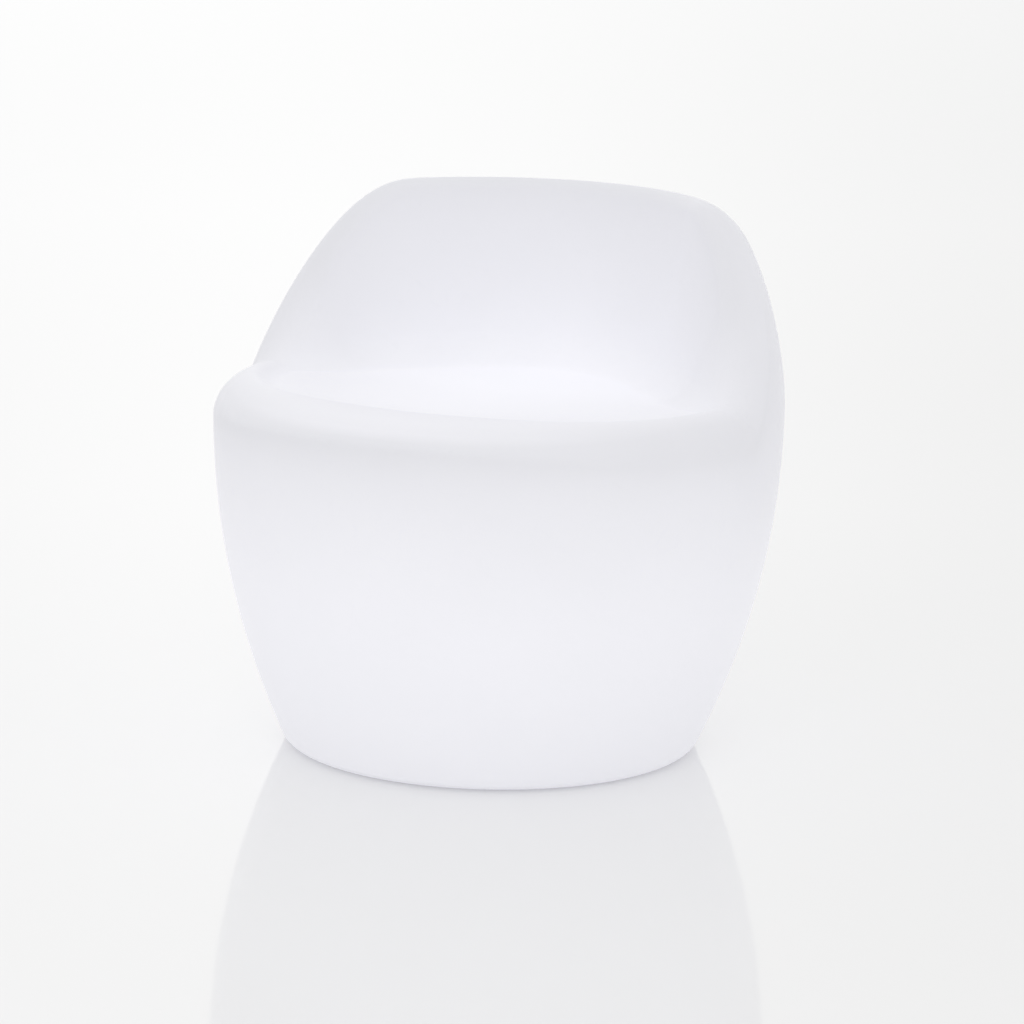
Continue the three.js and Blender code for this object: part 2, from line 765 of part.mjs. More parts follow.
function domeGeometry() {
  const pressBottom = carrierTop + seatGap;
  const innerRise = domeRise - domeWall + domeFlangeThickness;
  const inner = quarterArc(domePressInner, innerRise, domeFlangeBottom, domeSteps);
  const outer = quarterArc(domeRadius, domeRise, domeFlangeTop, domeSteps);
  const body = turned([
    ...inner.reverse(),
    [domePressInner, pressBottom],
    [domePressOuter, pressBottom],
    [domePressOuter, domeFlangeBottom],
    [tubRadius, domeFlangeBottom],
    [tubRadius, domeFlangeTop],
    ...outer,
  ]);
  const holes = domeScrewPlaces.map(({ x, y }) =>
    post(x, y, smallScrew.shank + screwHoleGap, pressBottom - cutOverrun, domeFlangeTop + cutOverrun));
  return cut(body, ...holes);
}

// The tray's two cradles are cut by the cells' own round shape.
function trayGeometry() {
  const length = trayLength - 2 * trayWall;
  const body = block(0, cellRowY, trayLength, trayWidth, trayBottom, trayTop);
  const radius = cellRadius + seatGap;
  const cradles = cellRows().map((y) => {
    const cradle = new THREE.CylinderGeometry(radius, radius, length, roundFacets);
    return cradle.rotateZ(Math.PI / 2).translate(0, y, cellHeight);
  });
  return cut(body, ...cradles);
}

function cellRows() {
  return [cellRowY - cellPitch / 2, cellRowY + cellPitch / 2];
}

// A cell lies along X, with its raised pole at +X.
function cellGeometry() {
  const half = cellLength / 2;
  return turned([
    [0, -half],
    [cellRadius - cellEdgeRadius, -half],
    [cellRadius, -half + cellEdgeRadius],
    [cellRadius, half - cellEdgeRadius],
    [cellRadius - cellEdgeRadius, half],
    [cellCapRadius, half],
    [cellCapRadius, half + cellCapHeight],
    [0, half + cellCapHeight],
  ], midFacets).rotateY(Math.PI / 2);
}

// The strap arches over both cells from one foot to the other.
const trayTop = cellHeight;
const strapSeat = (trayBottom + trayTop) / 2;

function strapGeometry() {
  const inside = trayWidth / 2 + seatGap;
  const outside = inside + strapThickness;
  const corner = cellRadius / 2;
  const footTop = strapSeat + strapThickness;
  const archTop = strapTop + strapThickness;
  const half = [
    [inside - corner, strapTop],
    [inside, strapTop - corner],
    [inside, strapSeat],
    [inside + strapFoot, strapSeat],
    [inside + strapFoot, footTop],
    [outside, footTop],
    [outside, archTop - corner],
    [outside - corner, archTop],
  ];
  const otherHalf = half.map(([across, height]) => [-across, height]).reverse();
  const outline = new THREE.Shape([...half, ...otherHalf].map((point) => new THREE.Vector2(...point)));
  const body = new THREE.ExtrudeGeometry(outline, { depth: strapWidth, bevelEnabled: false });
  body.translate(0, 0, -strapWidth / 2).rotateX(Math.PI / 2).rotateZ(Math.PI / 2);
  body.translate(0, cellRowY, 0);
  const holes = strapScrewPlaces.map(({ x, y }) =>
    post(x, y, smallScrew.shank + screwHoleGap, strapSeat - cutOverrun, footTop + cutOverrun));
  return cut(body, ...holes);
}

// A board with rounded corners and its screw holes.
function controlBoardGeometry() {
  const x = boardLength / 2 - boardCornerRadius;
  const y = boardWidth / 2 - boardCornerRadius;
  const outline = new THREE.Shape();
  const quarter = Math.PI / 2;
  [[x, y], [-x, y], [-x, -y], [x, -y]].forEach(([cornerX, cornerY], i) => {
    outline.absarc(cornerX, cornerY, boardCornerRadius, i * quarter, (i + 1) * quarter);
  });
  const settings = { depth: boardThickness, bevelEnabled: false, curveSegments: cornerSteps };
  const body = new THREE.ExtrudeGeometry(outline, settings).translate(0, boardMiddleY, boardBottom);
  const holes = boardScrewPlaces.map((place) =>
    post(place.x, place.y, smallScrew.shank + screwHoleGap, boardBottom - cutOverrun, boardTop + cutOverrun));
  return cut(body, ...holes);
}

function coilGeometry(bottom) {
  const top = bottom + coilHeight;
  return turned([
    [0, bottom],
    [coilRadius, bottom],
    [coilRadius, bottom + coilRim],
    [coilWaist, bottom + coilRim + coilSlope],
    [coilWaist, top - coilRim - coilSlope],
    [coilRadius, top - coilRim],
    [coilRadius, top],
    [0, top],
  ], midFacets);
}

function capacitorGeometry(bottom) {
  const top = bottom + capacitorHeight;
  return turned([
    [0, bottom],
    [capacitorRadius, bottom],
    [capacitorRadius, top - capacitorEdge],
    [capacitorRadius - capacitorEdge, top],
    [0, top],
  ], midFacets);
}

// The switch hangs under the control board, over the button's stem.
const stemTop = boardBottom - seatGap - switchHeight - buttonTravel - seatGap;

function switchGeometry() {
  const top = boardBottom - seatGap;
  const bodyBottom = top - switchHeight * switchBodyShare;
  return joined(
    block(buttonX, buttonY, switchSize, switchSize, bodyBottom, top),
    post(buttonX, buttonY, switchPlungerRadius, top - switchHeight, top - switchHeight / 2),
  );
}

// The button: a dished cap, a stem through the plate and a snap collar above it.
const buttonBottom = flangeBottom - buttonStandOut;
const buttonCapTop = buttonBottom + buttonCapHeight;

function buttonGeometry() {
  const collarBottom = buttonRoofTop + seatGap;
  return turned([
    [0, buttonBottom + buttonDish],
    [buttonRadius / 2, buttonBottom + buttonDish * buttonDishShare],
    [buttonRadius - 2 * buttonDish, buttonBottom],
    [buttonRadius - buttonDish, buttonBottom],
    [buttonRadius, buttonBottom + buttonDish],
    [buttonRadius, buttonCapTop],
    [buttonStemRadius, buttonCapTop],
    [buttonStemRadius, collarBottom],
    [buttonCollarRadius, collarBottom],
    [buttonStemRadius, collarBottom + buttonCollarHeight],
    [buttonStemRadius, stemTop],
    [0, stemTop],
  ], midFacets).translate(buttonX, buttonY, 0);
}

// A helix of round wire between the button's cap and the plate.
class Helix extends THREE.Curve {
  constructor(radius, bottom, top, turns) {
    super();
    Object.assign(this, { radius, bottom, top, turns });
  }

  getPoint(share, target = new THREE.Vector3()) {
    const angle = 2 * Math.PI * this.turns * share;
    const height = THREE.MathUtils.lerp(this.bottom, this.top, share);
    return target.set(this.radius * Math.cos(angle), this.radius * Math.sin(angle), height);
  }
}

function tube(curve, radius, steps, facets) {
  const section = new THREE.Shape(Array.from({ length: facets }, (_, i) => {
    const angle = (2 * Math.PI * i) / facets;
    return new THREE.Vector2(radius * Math.cos(angle), radius * Math.sin(angle));
  }));
  const geometry = new THREE.ExtrudeGeometry(section, { steps, extrudePath: curve, bevelEnabled: false });
  return geometryOf(solidOf(geometry));
}

function springGeometry() {
  const margin = springWireRadius + seatGap;
  const helix = new Helix(springCoilRadius, buttonCapTop + margin, buttonWellTop - margin, springTurns);
  const coil = tube(helix, springWireRadius, springTurns * springStepsPerTurn, hexFacets);
  return coil.translate(buttonX, buttonY, 0);
}

// The charging socket: a threaded barrel with a bore and a centre pin.
const socketFlangeTop = flangeBottom - seatGap;
const socketFlangeBottom = socketFlangeTop - socketFlangeThickness;

function socketGeometry() {
  const barrelTop = flangeTop + socketBarrelLength;
  const boreTop = socketFlangeBottom + socketBoreDepth;
  return turned([
    [0, socketFlangeBottom + socketFlangeThickness],
    [socketPinRadius, socketFlangeBottom + socketFlangeThickness],
    [socketPinRadius, boreTop],
    [socketBoreRadius, boreTop],
    [socketBoreRadius, socketFlangeBottom],
    [socketFlangeRadius, socketFlangeBottom],
    [socketFlangeRadius, socketFlangeTop],
    [socketBarrelRadius, socketFlangeTop],
    [socketBarrelRadius, barrelTop],
    [0, barrelTop],
  ], midFacets).translate(socketX, socketY, 0);
}

function nutGeometry() {
  const bottom = flangeTop + seatGap;
  const top = bottom + nutThickness;
  const thread = socketBarrelRadius + seatGap;
  return cut(
    post(socketX, socketY, nutRadius, bottom, top, hexFacets),
    post(socketX, socketY, thread, bottom - cutOverrun, top + cutOverrun, midFacets),
  );
}

// The socket's cap: a round lid with a shallow plug, a strap towards its hinge and a finger tab.
const capTop = socketFlangeBottom - seatGap;
const capBottom = capTop - capThickness;
const hingeX = socketX - capHingeDistance;
const anchorX = hingeX - seatGap - anchorLength / 2;

function capGeometry() {
  const middle = capTop - capThickness / 2;
  const plugRadius = socketBoreRadius - capPlugMargin;
  const plugTop = socketFlangeTop - capPlugMargin;
  const strapLength = capHingeDistance - seatGap;
  const tabLength = capRadius + capTabReach;
  return joined(
    post(socketX, socketY, capRadius, capBottom, capTop, midFacets),
    post(socketX, socketY, plugRadius, middle, plugTop),
    block(socketX - strapLength / 2, socketY, strapLength, capStrapWidth, capBottom, capTop),
    block(socketX + tabLength / 2, socketY, tabLength, capStrapWidth / 2, capBottom, middle),
  );
}

// The anchor holds the strap: a flat block with a barbed stem through the plate.
function anchorGeometry() {
  const barbBottom = flangeTop + seatGap;
  const bodyTop = flangeBottom - seatGap;
  const body = block(anchorX, socketY, anchorLength, capStrapWidth, capBottom, bodyTop);
  const stem = turned([
    [0, bodyTop - capThickness / 2],
    [anchorStemRadius, bodyTop - capThickness / 2],
    [anchorStemRadius, barbBottom],
    [anchorBarbRadius, barbBottom],
    [anchorStemRadius / 2, barbBottom + anchorBarbHeight],
    [0, barbBottom + anchorBarbHeight],
  ], smallFacets).translate(anchorX, socketY, 0);
  return joined(body, stem);
}

// Wires run as tubes through chosen points.
function wireGeometry(points) {
  const curve = new THREE.CatmullRomCurve3(points.map(([x, y, z]) => new THREE.Vector3(x, y, z)));
  return tube(curve, wireRadius, wireSteps, wireFacets);
}

// A cell wire leaves the tray's end wall, passes beside the tray and ends on the control board.
function cellWireGeometry(side) {
  const start = trayLength / 2 + seatGap + wireRadius;
  const boardEnd = boardTop + seatGap + wireRadius;
  return wireGeometry([
    [side * start, cellRowY, trayTop - wireSpread],
    [side * start, cellRowY - cellPitch / 2, trayTop],
    [side * (start - wireSpread), cellRowY - cellPitch, trayTop + wireSpread],
    [side * (boardLength / 2 + wireRadius), boardMiddleY + boardWidth / 2, boardEnd + wireRadius],
    [side * (boardLength / 2 - wireSpread), boardMiddleY + wireSpread, boardEnd],
    [side * (boardLength / 2 - 2 * wireSpread), boardMiddleY, boardEnd],
  ]);
}

// A light wire rises from the control board through the carrier and ends over the light board.
function lightWireGeometry(side) {
  const x = side * wireSpread / 2;
  const boardEnd = boardTop + seatGap + wireRadius;
  const lightEnd = lightBoardTop + seatGap + wireRadius;
  return wireGeometry([
    [side * 2 * wireSpread, boardMiddleY + wireSpread, boardEnd],
    [side * 1.5 * wireSpread, boardMiddleY - wireSpread, boardEnd],
    [x, wireHoleY, (boardTop + carrierBottom) / 2],
    [x, wireHoleY, lightBoardBottom],
    [x, wireHoleY + wireSpread / 2, lightEnd],
    [x, wireHoleY + 3 * wireSpread, lightEnd],
  ]);
}

// Puts a geometry into a named mesh with its finish.
function piece(name, geometry, finish) {
  const mesh = new THREE.Mesh(geometry, finish);
  mesh.name = name;
  return mesh;
}

// One screw at each place. Those driven from below are turned over.
function screws(name, geometry, places, height, fromBelow) {
  return places.map(({ x, y }, i) => {
    const mesh = piece(`${name}_${i + 1}`, geometry, finishes.steel);
    mesh.position.set(x, y, height);
    mesh.rotation.x = fromBelow ? Math.PI : 0;
    return mesh;
  });
}

function feet() {
  const group = new THREE.Group();
  footPlaces.forEach(({ x, y }, i) => {
    const pad = piece(`foot_pad_${i + 1}`, footPadGeometry(), finishes.rubber);
    pad.position.set(x, y, 0);
    group.add(pad);
  });
  group.add(...screws('foot_screw', bodyScrewGeometry, footPlaces, footRecessDepth - seatGap, true));
  return group;
}

function modulePlate() {
  const group = new THREE.Group();
  group.add(piece('module_base', basePlateGeometry(), finishes.housing));
  group.add(piece('module_gasket', gasketGeometry(), finishes.silicone));
  flangeScrewPlaces.forEach(({ x, y }, i) => {
    const insert = piece(`flange_insert_${i + 1}`, insertGeometry(), finishes.brass);
    insert.position.set(x, y, 0);
    group.add(insert);
  });
  const seat = flangeBottom + flangeScrewRecess - seatGap;
  group.add(...screws('flange_screw', bodyScrewGeometry, flangeScrewPlaces, seat, true));
  return group;
}

function lightUnit() {
  const group = new THREE.Group();
  group.add(piece('light_carrier', carrierGeometry(), finishes.aluminium));
  group.add(piece('light_board', lightBoardGeometry(), finishes.lightBoard));
  around(ledCount, ledCircle, 0).forEach(({ x, y }, i) => {
    const led = piece(`led_${i + 1}`, ledGeometry(), finishes.led);
    led.position.set(x, y, lightBoardTop + seatGap);
    group.add(led);
  });
  const sealInner = sealMiddle - sealWidth / 2;
  const seal = ring(sealInner, sealInner + sealWidth, sealBottom, sealBottom + sealThickness);
  group.add(piece('dome_seal', seal, finishes.silicone));
  group.add(piece('light_dome', domeGeometry(), finishes.dome));
  group.add(...screws('dome_screw', smallScrewGeometry, domeScrewPlaces, domeFlangeTop + seatGap, false));
  return group;
}

function batteryPack() {
  const group = new THREE.Group();
  group.add(piece('cell_tray', trayGeometry(), finishes.black));
  cellRows().forEach((y, i) => {
    const cell = piece(`cell_${i + 1}`, cellGeometry(), finishes.cell);
    cell.position.set(-cellCapHeight / 2, y, cellHeight);
    group.add(cell);
  });
  group.add(piece('cell_strap', strapGeometry(), finishes.aluminium));
  const seat = strapSeat + strapThickness + seatGap;
  group.add(...screws('strap_screw', smallScrewGeometry, strapScrewPlaces, seat, false));
  group.add(piece('cell_wire_plus', cellWireGeometry(1), finishes.redWire));
  group.add(piece('cell_wire_minus', cellWireGeometry(-1), finishes.blackWire));
  return group;
}

function controls() {
  const group = new THREE.Group();
  const deck = boardTop + seatGap;
  const onBoard = (geometry, [lengthShare, widthShare]) =>
    geometry.translate(lengthShare * boardLength, boardMiddleY + widthShare * boardWidth, 0);
  const chip = onBoard(block(0, 0, chipSize, chipSize, deck, deck + chipHeight), boardPlaceShares.chip);
  const coil = onBoard(coilGeometry(deck), boardPlaceShares.coil);
  const capacitor = onBoard(capacitorGeometry(deck), boardPlaceShares.capacitor);
  group.add(piece('control_board', controlBoardGeometry(), finishes.board));
  group.add(...screws('board_screw', smallScrewGeometry, boardScrewPlaces, deck, false));
  group.add(piece('control_chip', chip, finishes.black));
  group.add(piece('charge_coil', coil, finishes.black));
  group.add(piece('capacitor', capacitor, finishes.aluminium));
  group.add(piece('light_wire_plus', lightWireGeometry(1), finishes.redWire));
  group.add(piece('light_wire_minus', lightWireGeometry(-1), finishes.blackWire));
  group.add(piece('power_switch', switchGeometry(), finishes.black));
  group.add(piece('power_button', buttonGeometry(), finishes.housing));
  group.add(piece('button_spring', springGeometry(), finishes.steel));
  group.add(piece('charge_socket', socketGeometry(), finishes.black));
  group.add(piece('socket_nut', nutGeometry(), finishes.steel));
  group.add(piece('socket_cap', capGeometry(), finishes.silicone));
  group.add(piece('cap_anchor', anchorGeometry(), finishes.silicone));
  return group;
}

const stool = new THREE.Group();
stool.add(piece('shell', shellGeometry(), finishes.shell));
stool.add(feet(), modulePlate(), lightUnit(), batteryPack(), controls());
stool.position.y = -bodyMiddleY;

export default stool;
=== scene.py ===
"""LED light-up stool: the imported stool, dressed, on a plain pale floor in soft studio light.

Everything is in metres in the stool's own frame: +Z up, the front towards -Y, the floor at zero.
"""
import json
import logging
import math
from dataclasses import dataclass
from enum import Enum
from typing import Callable, Iterable

import bmesh
import bpy
import numpy as np
from mathutils import Matrix, Vector


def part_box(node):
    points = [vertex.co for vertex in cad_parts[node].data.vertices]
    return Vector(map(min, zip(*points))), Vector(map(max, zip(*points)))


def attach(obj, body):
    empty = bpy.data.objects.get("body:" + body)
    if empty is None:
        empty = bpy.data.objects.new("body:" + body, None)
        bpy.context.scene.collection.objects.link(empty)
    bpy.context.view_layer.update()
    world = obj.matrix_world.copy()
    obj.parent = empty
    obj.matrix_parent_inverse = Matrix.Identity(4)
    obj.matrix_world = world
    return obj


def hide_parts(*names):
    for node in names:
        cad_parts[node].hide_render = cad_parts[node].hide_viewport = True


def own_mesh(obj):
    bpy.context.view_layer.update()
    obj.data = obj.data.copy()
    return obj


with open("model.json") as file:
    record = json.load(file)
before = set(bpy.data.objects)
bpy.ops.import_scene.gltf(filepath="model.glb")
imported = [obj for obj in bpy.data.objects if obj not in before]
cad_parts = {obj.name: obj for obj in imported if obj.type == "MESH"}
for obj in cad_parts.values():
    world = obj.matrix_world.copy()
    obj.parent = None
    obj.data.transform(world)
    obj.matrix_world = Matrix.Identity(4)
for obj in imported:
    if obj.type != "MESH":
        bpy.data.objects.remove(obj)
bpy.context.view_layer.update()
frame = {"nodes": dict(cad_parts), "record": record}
log = logging.getLogger("stool")

Colour = tuple[float, float, float, float]
Place = tuple[float, float]
Corner = tuple[float, float, float]
Outline = list[Place]
Curve = Callable[[float], Place]
WHITE = (1.0, 1.0, 1.0, 1.0)
BLACK = (0.0, 0.0, 0.0, 1.0)
TURN = 2 * math.pi
QUARTER = math.pi / 2
SAME_POINT = 1e-7
NO_LENGTH = 1e-8
FEET = 4
FLANGE_SCREWS = 6
DOME_SCREWS = 3
BOARD_SCREWS = 3
STRAP_SCREWS = 2


class Body(Enum):
    """The rigid bodies that pieces ride on."""

    STOOL = "stool"
    BUTTON = "button"
    CAP = "cap"


class Slot(Enum):
    """The record's material slots."""

    SHELL = "shell"
    RUBBER = "rubber"
    STEEL = "steel"
    BRASS = "brass"
    HOUSING = "housing"
    SILICONE = "silicone"
    ALUMINIUM = "aluminium"
    LIGHT_BOARD = "light_board"
    LED = "led"
    DOME = "dome"
    BLACK_PLASTIC = "black_plastic"
    CELL_SLEEVE = "cell_sleeve"
    BOARD = "board"
    RED_WIRE = "red_wire"
    BLACK_WIRE = "black_wire"


class Work(Enum):
    """What a tool solid does to a body."""

    JOIN = "UNION"
    CUT = "DIFFERENCE"


class Graph:
    """A node tree with short ways to add and join its nodes.

    A Mix node's colour sockets share their names with its other sockets, so they go by number.
    """

    MIX_SHARE = 0
    MIX_FIRST = 6
    MIX_SECOND = 7
    MIX_RESULT = 2

    def __init__(self, tree: bpy.types.NodeTree) -> None:
        """Keeps the tree that the nodes go into."""
        self.tree = tree

    def feed(self, socket: bpy.types.NodeSocket, value: object) -> None:
        """Joins another node's output to a socket, or sets the socket's own value.

        Args:
            socket: The input that takes the value.
            value: An output socket, or a plain number, vector or colour.
        """
        if isinstance(value, bpy.types.NodeSocket):
            self.tree.links.new(value, socket)
        else:
            socket.default_value = value

    def add(self, kind: str, inputs: dict[str, object] | None = None, **settings: object) -> bpy.types.Node:
        """Adds a node.

        Args:
            kind: The node's type name.
            inputs: Values or output sockets for its inputs, by the inputs' names.
            **settings: The node's own settings.

        Returns:
            The new node.
        """
        node = self.tree.nodes.new(kind)
        for name, value in settings.items():
            setattr(node, name, value)
        for name, value in (inputs or {}).items():
            self.feed(node.inputs[name], value)
        return node

    def mix(self, share: object, first: object, second: object) -> bpy.types.NodeSocket:
        """Mixes two colours.

        Args:
            share: How much of the second colour shows, from 0 to 1.
            first: The colour at 0.
            second: The colour at 1.

        Returns:
            The mixed colour's socket.
        """
        node = self.add("ShaderNodeMix", data_type="RGBA")
        self.feed(node.inputs[self.MIX_SHARE], share)
        self.feed(node.inputs[self.MIX_FIRST], first)
        self.feed(node.inputs[self.MIX_SECOND], second)
        return node.outputs[self.MIX_RESULT]

    def ramp(self, value: object, low: float, high: float, start: float = 0.0,
             end: float = 1.0) -> bpy.types.NodeSocket:
        """Maps a value that runs from start to end onto low to high, and holds it there.

        Args:
            value: The value, or the socket that gives it.
            low: The result at the start.
            high: The result at the end.
            start: The value where the change begins.
            end: The value where it is complete.

        Returns:
            The result's socket.
        """
        inputs = {"Value": value, "From Min": start, "From Max": end, "To Min": low, "To Max": high}
        return self.add("ShaderNodeMapRange", inputs).outputs[0]

    def maths(self, operation: str, first: object, second: object = 0.0) -> bpy.types.NodeSocket:
        """Works one sum on two values.

        Args:
            operation: The Math node's name for the sum.
            first: The first value, or its socket.
            second: The second value, or its socket.

        Returns:
            The result's socket.
        """
        node = self.add("ShaderNodeMath", operation=operation)
        self.feed(node.inputs[0], first)
        self.feed(node.inputs[1], second)
        return node.outputs[0]

    def scaled(self, vector: object, size: object) -> bpy.types.NodeSocket:
        """Divides a place by a size, so that a texture's cells get that size.

        Args:
            vector: The place's socket.
            size: The size in metres, or its socket.

        Returns:
            The divided place's socket.
        """
        node = self.add("ShaderNodeVectorMath", operation="SCALE")
        self.feed(node.inputs[0], vector)
        self.feed(node.inputs["Scale"], self.maths("DIVIDE", 1.0, size))
        return node.outputs[0]


class Effect:
    """A shader node group that several finishes share."""

    def __init__(self, name: str, inputs: dict[str, float], outputs: Iterable[str]) -> None:
        """Makes the group with a Vector input and its number sockets.

        Args:
            name: The group's name.
            inputs: The number inputs and their usual values.
            outputs: The names of the values that it puts out.
        """
        self.tree = bpy.data.node_groups.new(name, "ShaderNodeTree")
        self.graph = Graph(self.tree)
        self.tree.interface.new_socket("Vector", in_out="INPUT", socket_type="NodeSocketVector")
        for label, value in inputs.items():
            socket = self.tree.interface.new_socket(label, in_out="INPUT", socket_type="NodeSocketFloat")
            socket.default_value = value
        for label in outputs:
            self.tree.interface.new_socket(label, in_out="OUTPUT", socket_type="NodeSocketFloat")
        self.given = self.graph.add("NodeGroupInput").outputs
        self.result = self.graph.add("NodeGroupOutput").inputs


class Effects:
    """Builds each shared effect once."""

    def __init__(self) -> None:
        """Makes the groups."""
        self.grain = self._grain()
        self.marks = self._marks()
        self.lines = self._lines()
        self.speckle = self._speckle()

    @staticmethod
    def _grain() -> bpy.types.NodeTree:
        """Soft pebbled relief, as on a moulded skin.

        Returns:
            The effect's node group.
        """
        effect = Effect("soft_grain", {"Size": 0.003}, ["Height", "Mask"])
        graph = effect.graph
        place = graph.scaled(effect.given["Vector"], effect.given["Size"])
        pebbles = graph.add("ShaderNodeTexVoronoi", {"Vector": place, "Scale": 1.0, "Smoothness": 0.8},
                            feature="SMOOTH_F1")
        ripple = graph.add("ShaderNodeTexNoise", {"Vector": place, "Scale": 0.7, "Detail": 3.0})
        both = graph.maths("ADD", pebbles.outputs["Distance"], ripple.outputs["Fac"])
        mean = graph.maths("DIVIDE", both, 2.0)
        mask = graph.ramp(ripple.outputs["Fac"], low=0.0, high=1.0, start=0.3, end=0.7)
        graph.feed(effect.result["Height"], mean)
        graph.feed(effect.result["Mask"], mask)
        return effect.tree

    @staticmethod
    def _marks() -> bpy.types.NodeTree:
        """Cloudy patches with a few thin rub marks, as handling leaves them.

        Returns:
            The effect's node group.
        """
        effect = Effect("handling_marks", {"Size": 0.06, "Amount": 0.5}, ["Mask"])
        graph = effect.graph
        place = graph.scaled(effect.given["Vector"], effect.given["Size"])
        clouds = graph.add("ShaderNodeTexNoise", {"Vector": place, "Scale": 1.0, "Detail": 4.0})
        bent = graph.add("ShaderNodeTexNoise",
                         {"Vector": place, "Scale": 3.0, "Detail": 6.0, "Distortion": 2.5})
        patches = graph.ramp(clouds.outputs["Fac"], low=0.0, high=1.0, start=0.45, end=0.75)
        rubs = graph.ramp(bent.outputs["Fac"], low=0.0, high=1.0, start=0.62, end=0.7)
        both = graph.maths("MAXIMUM", patches, rubs)
        graph.feed(effect.result["Mask"], graph.maths("MULTIPLY", both, effect.given["Amount"]))
        return effect.tree

    @staticmethod
    def _lines() -> bpy.types.NodeTree:
        """Fine lines across the surface, as turning and rolling leave them in metal.

        Returns:
            The effect's node group.
        """
        effect = Effect("tool_lines", {"Size": 0.0004}, ["Height", "Mask"])
        graph = effect.graph
        place = graph.scaled(effect.given["Vector"], effect.given["Size"])
        lines = graph.add("ShaderNodeTexWave",
                          {"Vector": place, "Scale": 0.6, "Distortion": 1.5, "Detail": 3.0},
                          bands_direction="Z")
        cloud = graph.add("ShaderNodeTexNoise", {"Vector": place, "Scale": 0.15, "Detail": 4.0})
        graph.feed(effect.result["Height"], lines.outputs["Fac"])
        graph.feed(effect.result["Mask"], cloud.outputs["Fac"])
        return effect.tree

    @staticmethod
    def _speckle() -> bpy.types.NodeTree:
        """Small light flecks, as dust on rubber.

        Returns:
            The effect's node group.
        """
        effect = Effect("dust_speckle", {"Size": 0.0012, "Amount": 0.4}, ["Mask"])
        graph = effect.graph
        place = graph.scaled(effect.given["Vector"], effect.given["Size"])
        flecks = graph.add("ShaderNodeTexVoronoi", {"Vector": place, "Scale": 1.0})
        drift = graph.add("ShaderNodeTexNoise", {"Vector": place, "Scale": 0.08, "Detail": 3.0})
        spots = graph.ramp(flecks.outputs["Distance"], low=1.0, high=0.0, start=0.1, end=0.3)
        drifts = graph.ramp(drift.outputs["Fac"], low=0.0, high=1.0, start=0.4, end=0.7)
        both = graph.maths("MULTIPLY", spots, drifts)
        graph.feed(effect.result["Mask"], graph.maths("MULTIPLY", both, effect.given["Amount"]))
        return effect.tree


effects = Effects()


class Surface(Graph):
    """A material's nodes: one Principled shader and what feeds it."""

    def __init__(self, name: str) -> None:
        """Makes an empty material with its shader.

        Args:
            name: The material's name.
        """
        self.material = bpy.data.materials.new(name)
        self.material.use_nodes = True
        super().__init__(self.material.node_tree)
        self.tree.nodes.clear()
        self.shader = self.add("ShaderNodeBsdfPrincipled")
        self.add("ShaderNodeOutputMaterial", {"Surface": self.shader.outputs["BSDF"]})
        self.place = self.add("ShaderNodeTexCoord").outputs["Object"]

    def effect(self, group: bpy.types.NodeTree, **inputs: object) -> bpy.types.Node:
        """Places a shared effect, fed with the piece's own coordinates.

        Args:
            group: The effect's node group.
            **inputs: Values for its inputs.

        Returns:
            The group's node.
        """
        node = self.add("ShaderNodeGroup", node_tree=group)
        self.feed(node.inputs["Vector"], self.place)
        for name, value in inputs.items():
            self.feed(node.inputs[name], value)
        return node

    def set(self, **values: object) -> None:
        """Feeds the shader's sockets.

        Args:
            **values: Values or output sockets, by the sockets' names with underscores for spaces.
        """
        for name, value in values.items():
            self.feed(self.shader.inputs[name.replace("_", " ")], value)

    def relief(self, height: object, depth: float) -> None:
        """Gives the surface a relief.

        Args:
            height: The socket that gives the height, from 0 to 1.
            depth: The relief's depth in metres.
        """
        bump = self.add("ShaderNodeBump", {"Strength": 1.0, "Distance": depth, "Height": height})
        self.set(Normal=bump.outputs["Normal"])


def shade(colour: Colour, factor: float) -> Colour:
    """A darker or lighter shade of a colour."""
    return (colour[0] * factor, colour[1] * factor, colour[2] * factor, 1.0)


@dataclass(frozen=True)
class MouldedFinish:
    """Moulded plastic or rubber: pebbled skin, cloudy gloss and handling marks."""

    name: str
    slot: Slot
    colour: Colour
    roughness: float
    grain_size: float = 0.0018
    grain_depth: float = 0.00003
    tone_change: float = 0.06
    mark_size: float = 0.03
    gloss_change: float = 0.08
    dust: float = 0.0
    dust_colour: Colour = (0.45, 0.44, 0.42, 1.0)

    def material(self) -> bpy.types.Material:
        """Builds the material.

        Returns:
            The finished material.
        """
        surface = Surface(self.name)
        grain = surface.effect(effects.grain, Size=self.grain_size)
        marks = surface.effect(effects.marks, Size=self.mark_size, Amount=1.0)
        colour = surface.mix(marks.outputs["Mask"], self.colour, shade(self.colour, 1 - self.tone_change))
        if self.dust > 0:
            speckle = surface.effect(effects.speckle, Size=self.grain_size, Amount=self.dust)
            colour = surface.mix(speckle.outputs["Mask"], colour, self.dust_colour)
        low, high = self.roughness - self.gloss_change, self.roughness + self.gloss_change
        surface.set(Base_Color=colour, Roughness=surface.ramp(marks.outputs["Mask"], low, high))
        surface.relief(grain.outputs["Height"], self.grain_depth)
        return surface.material


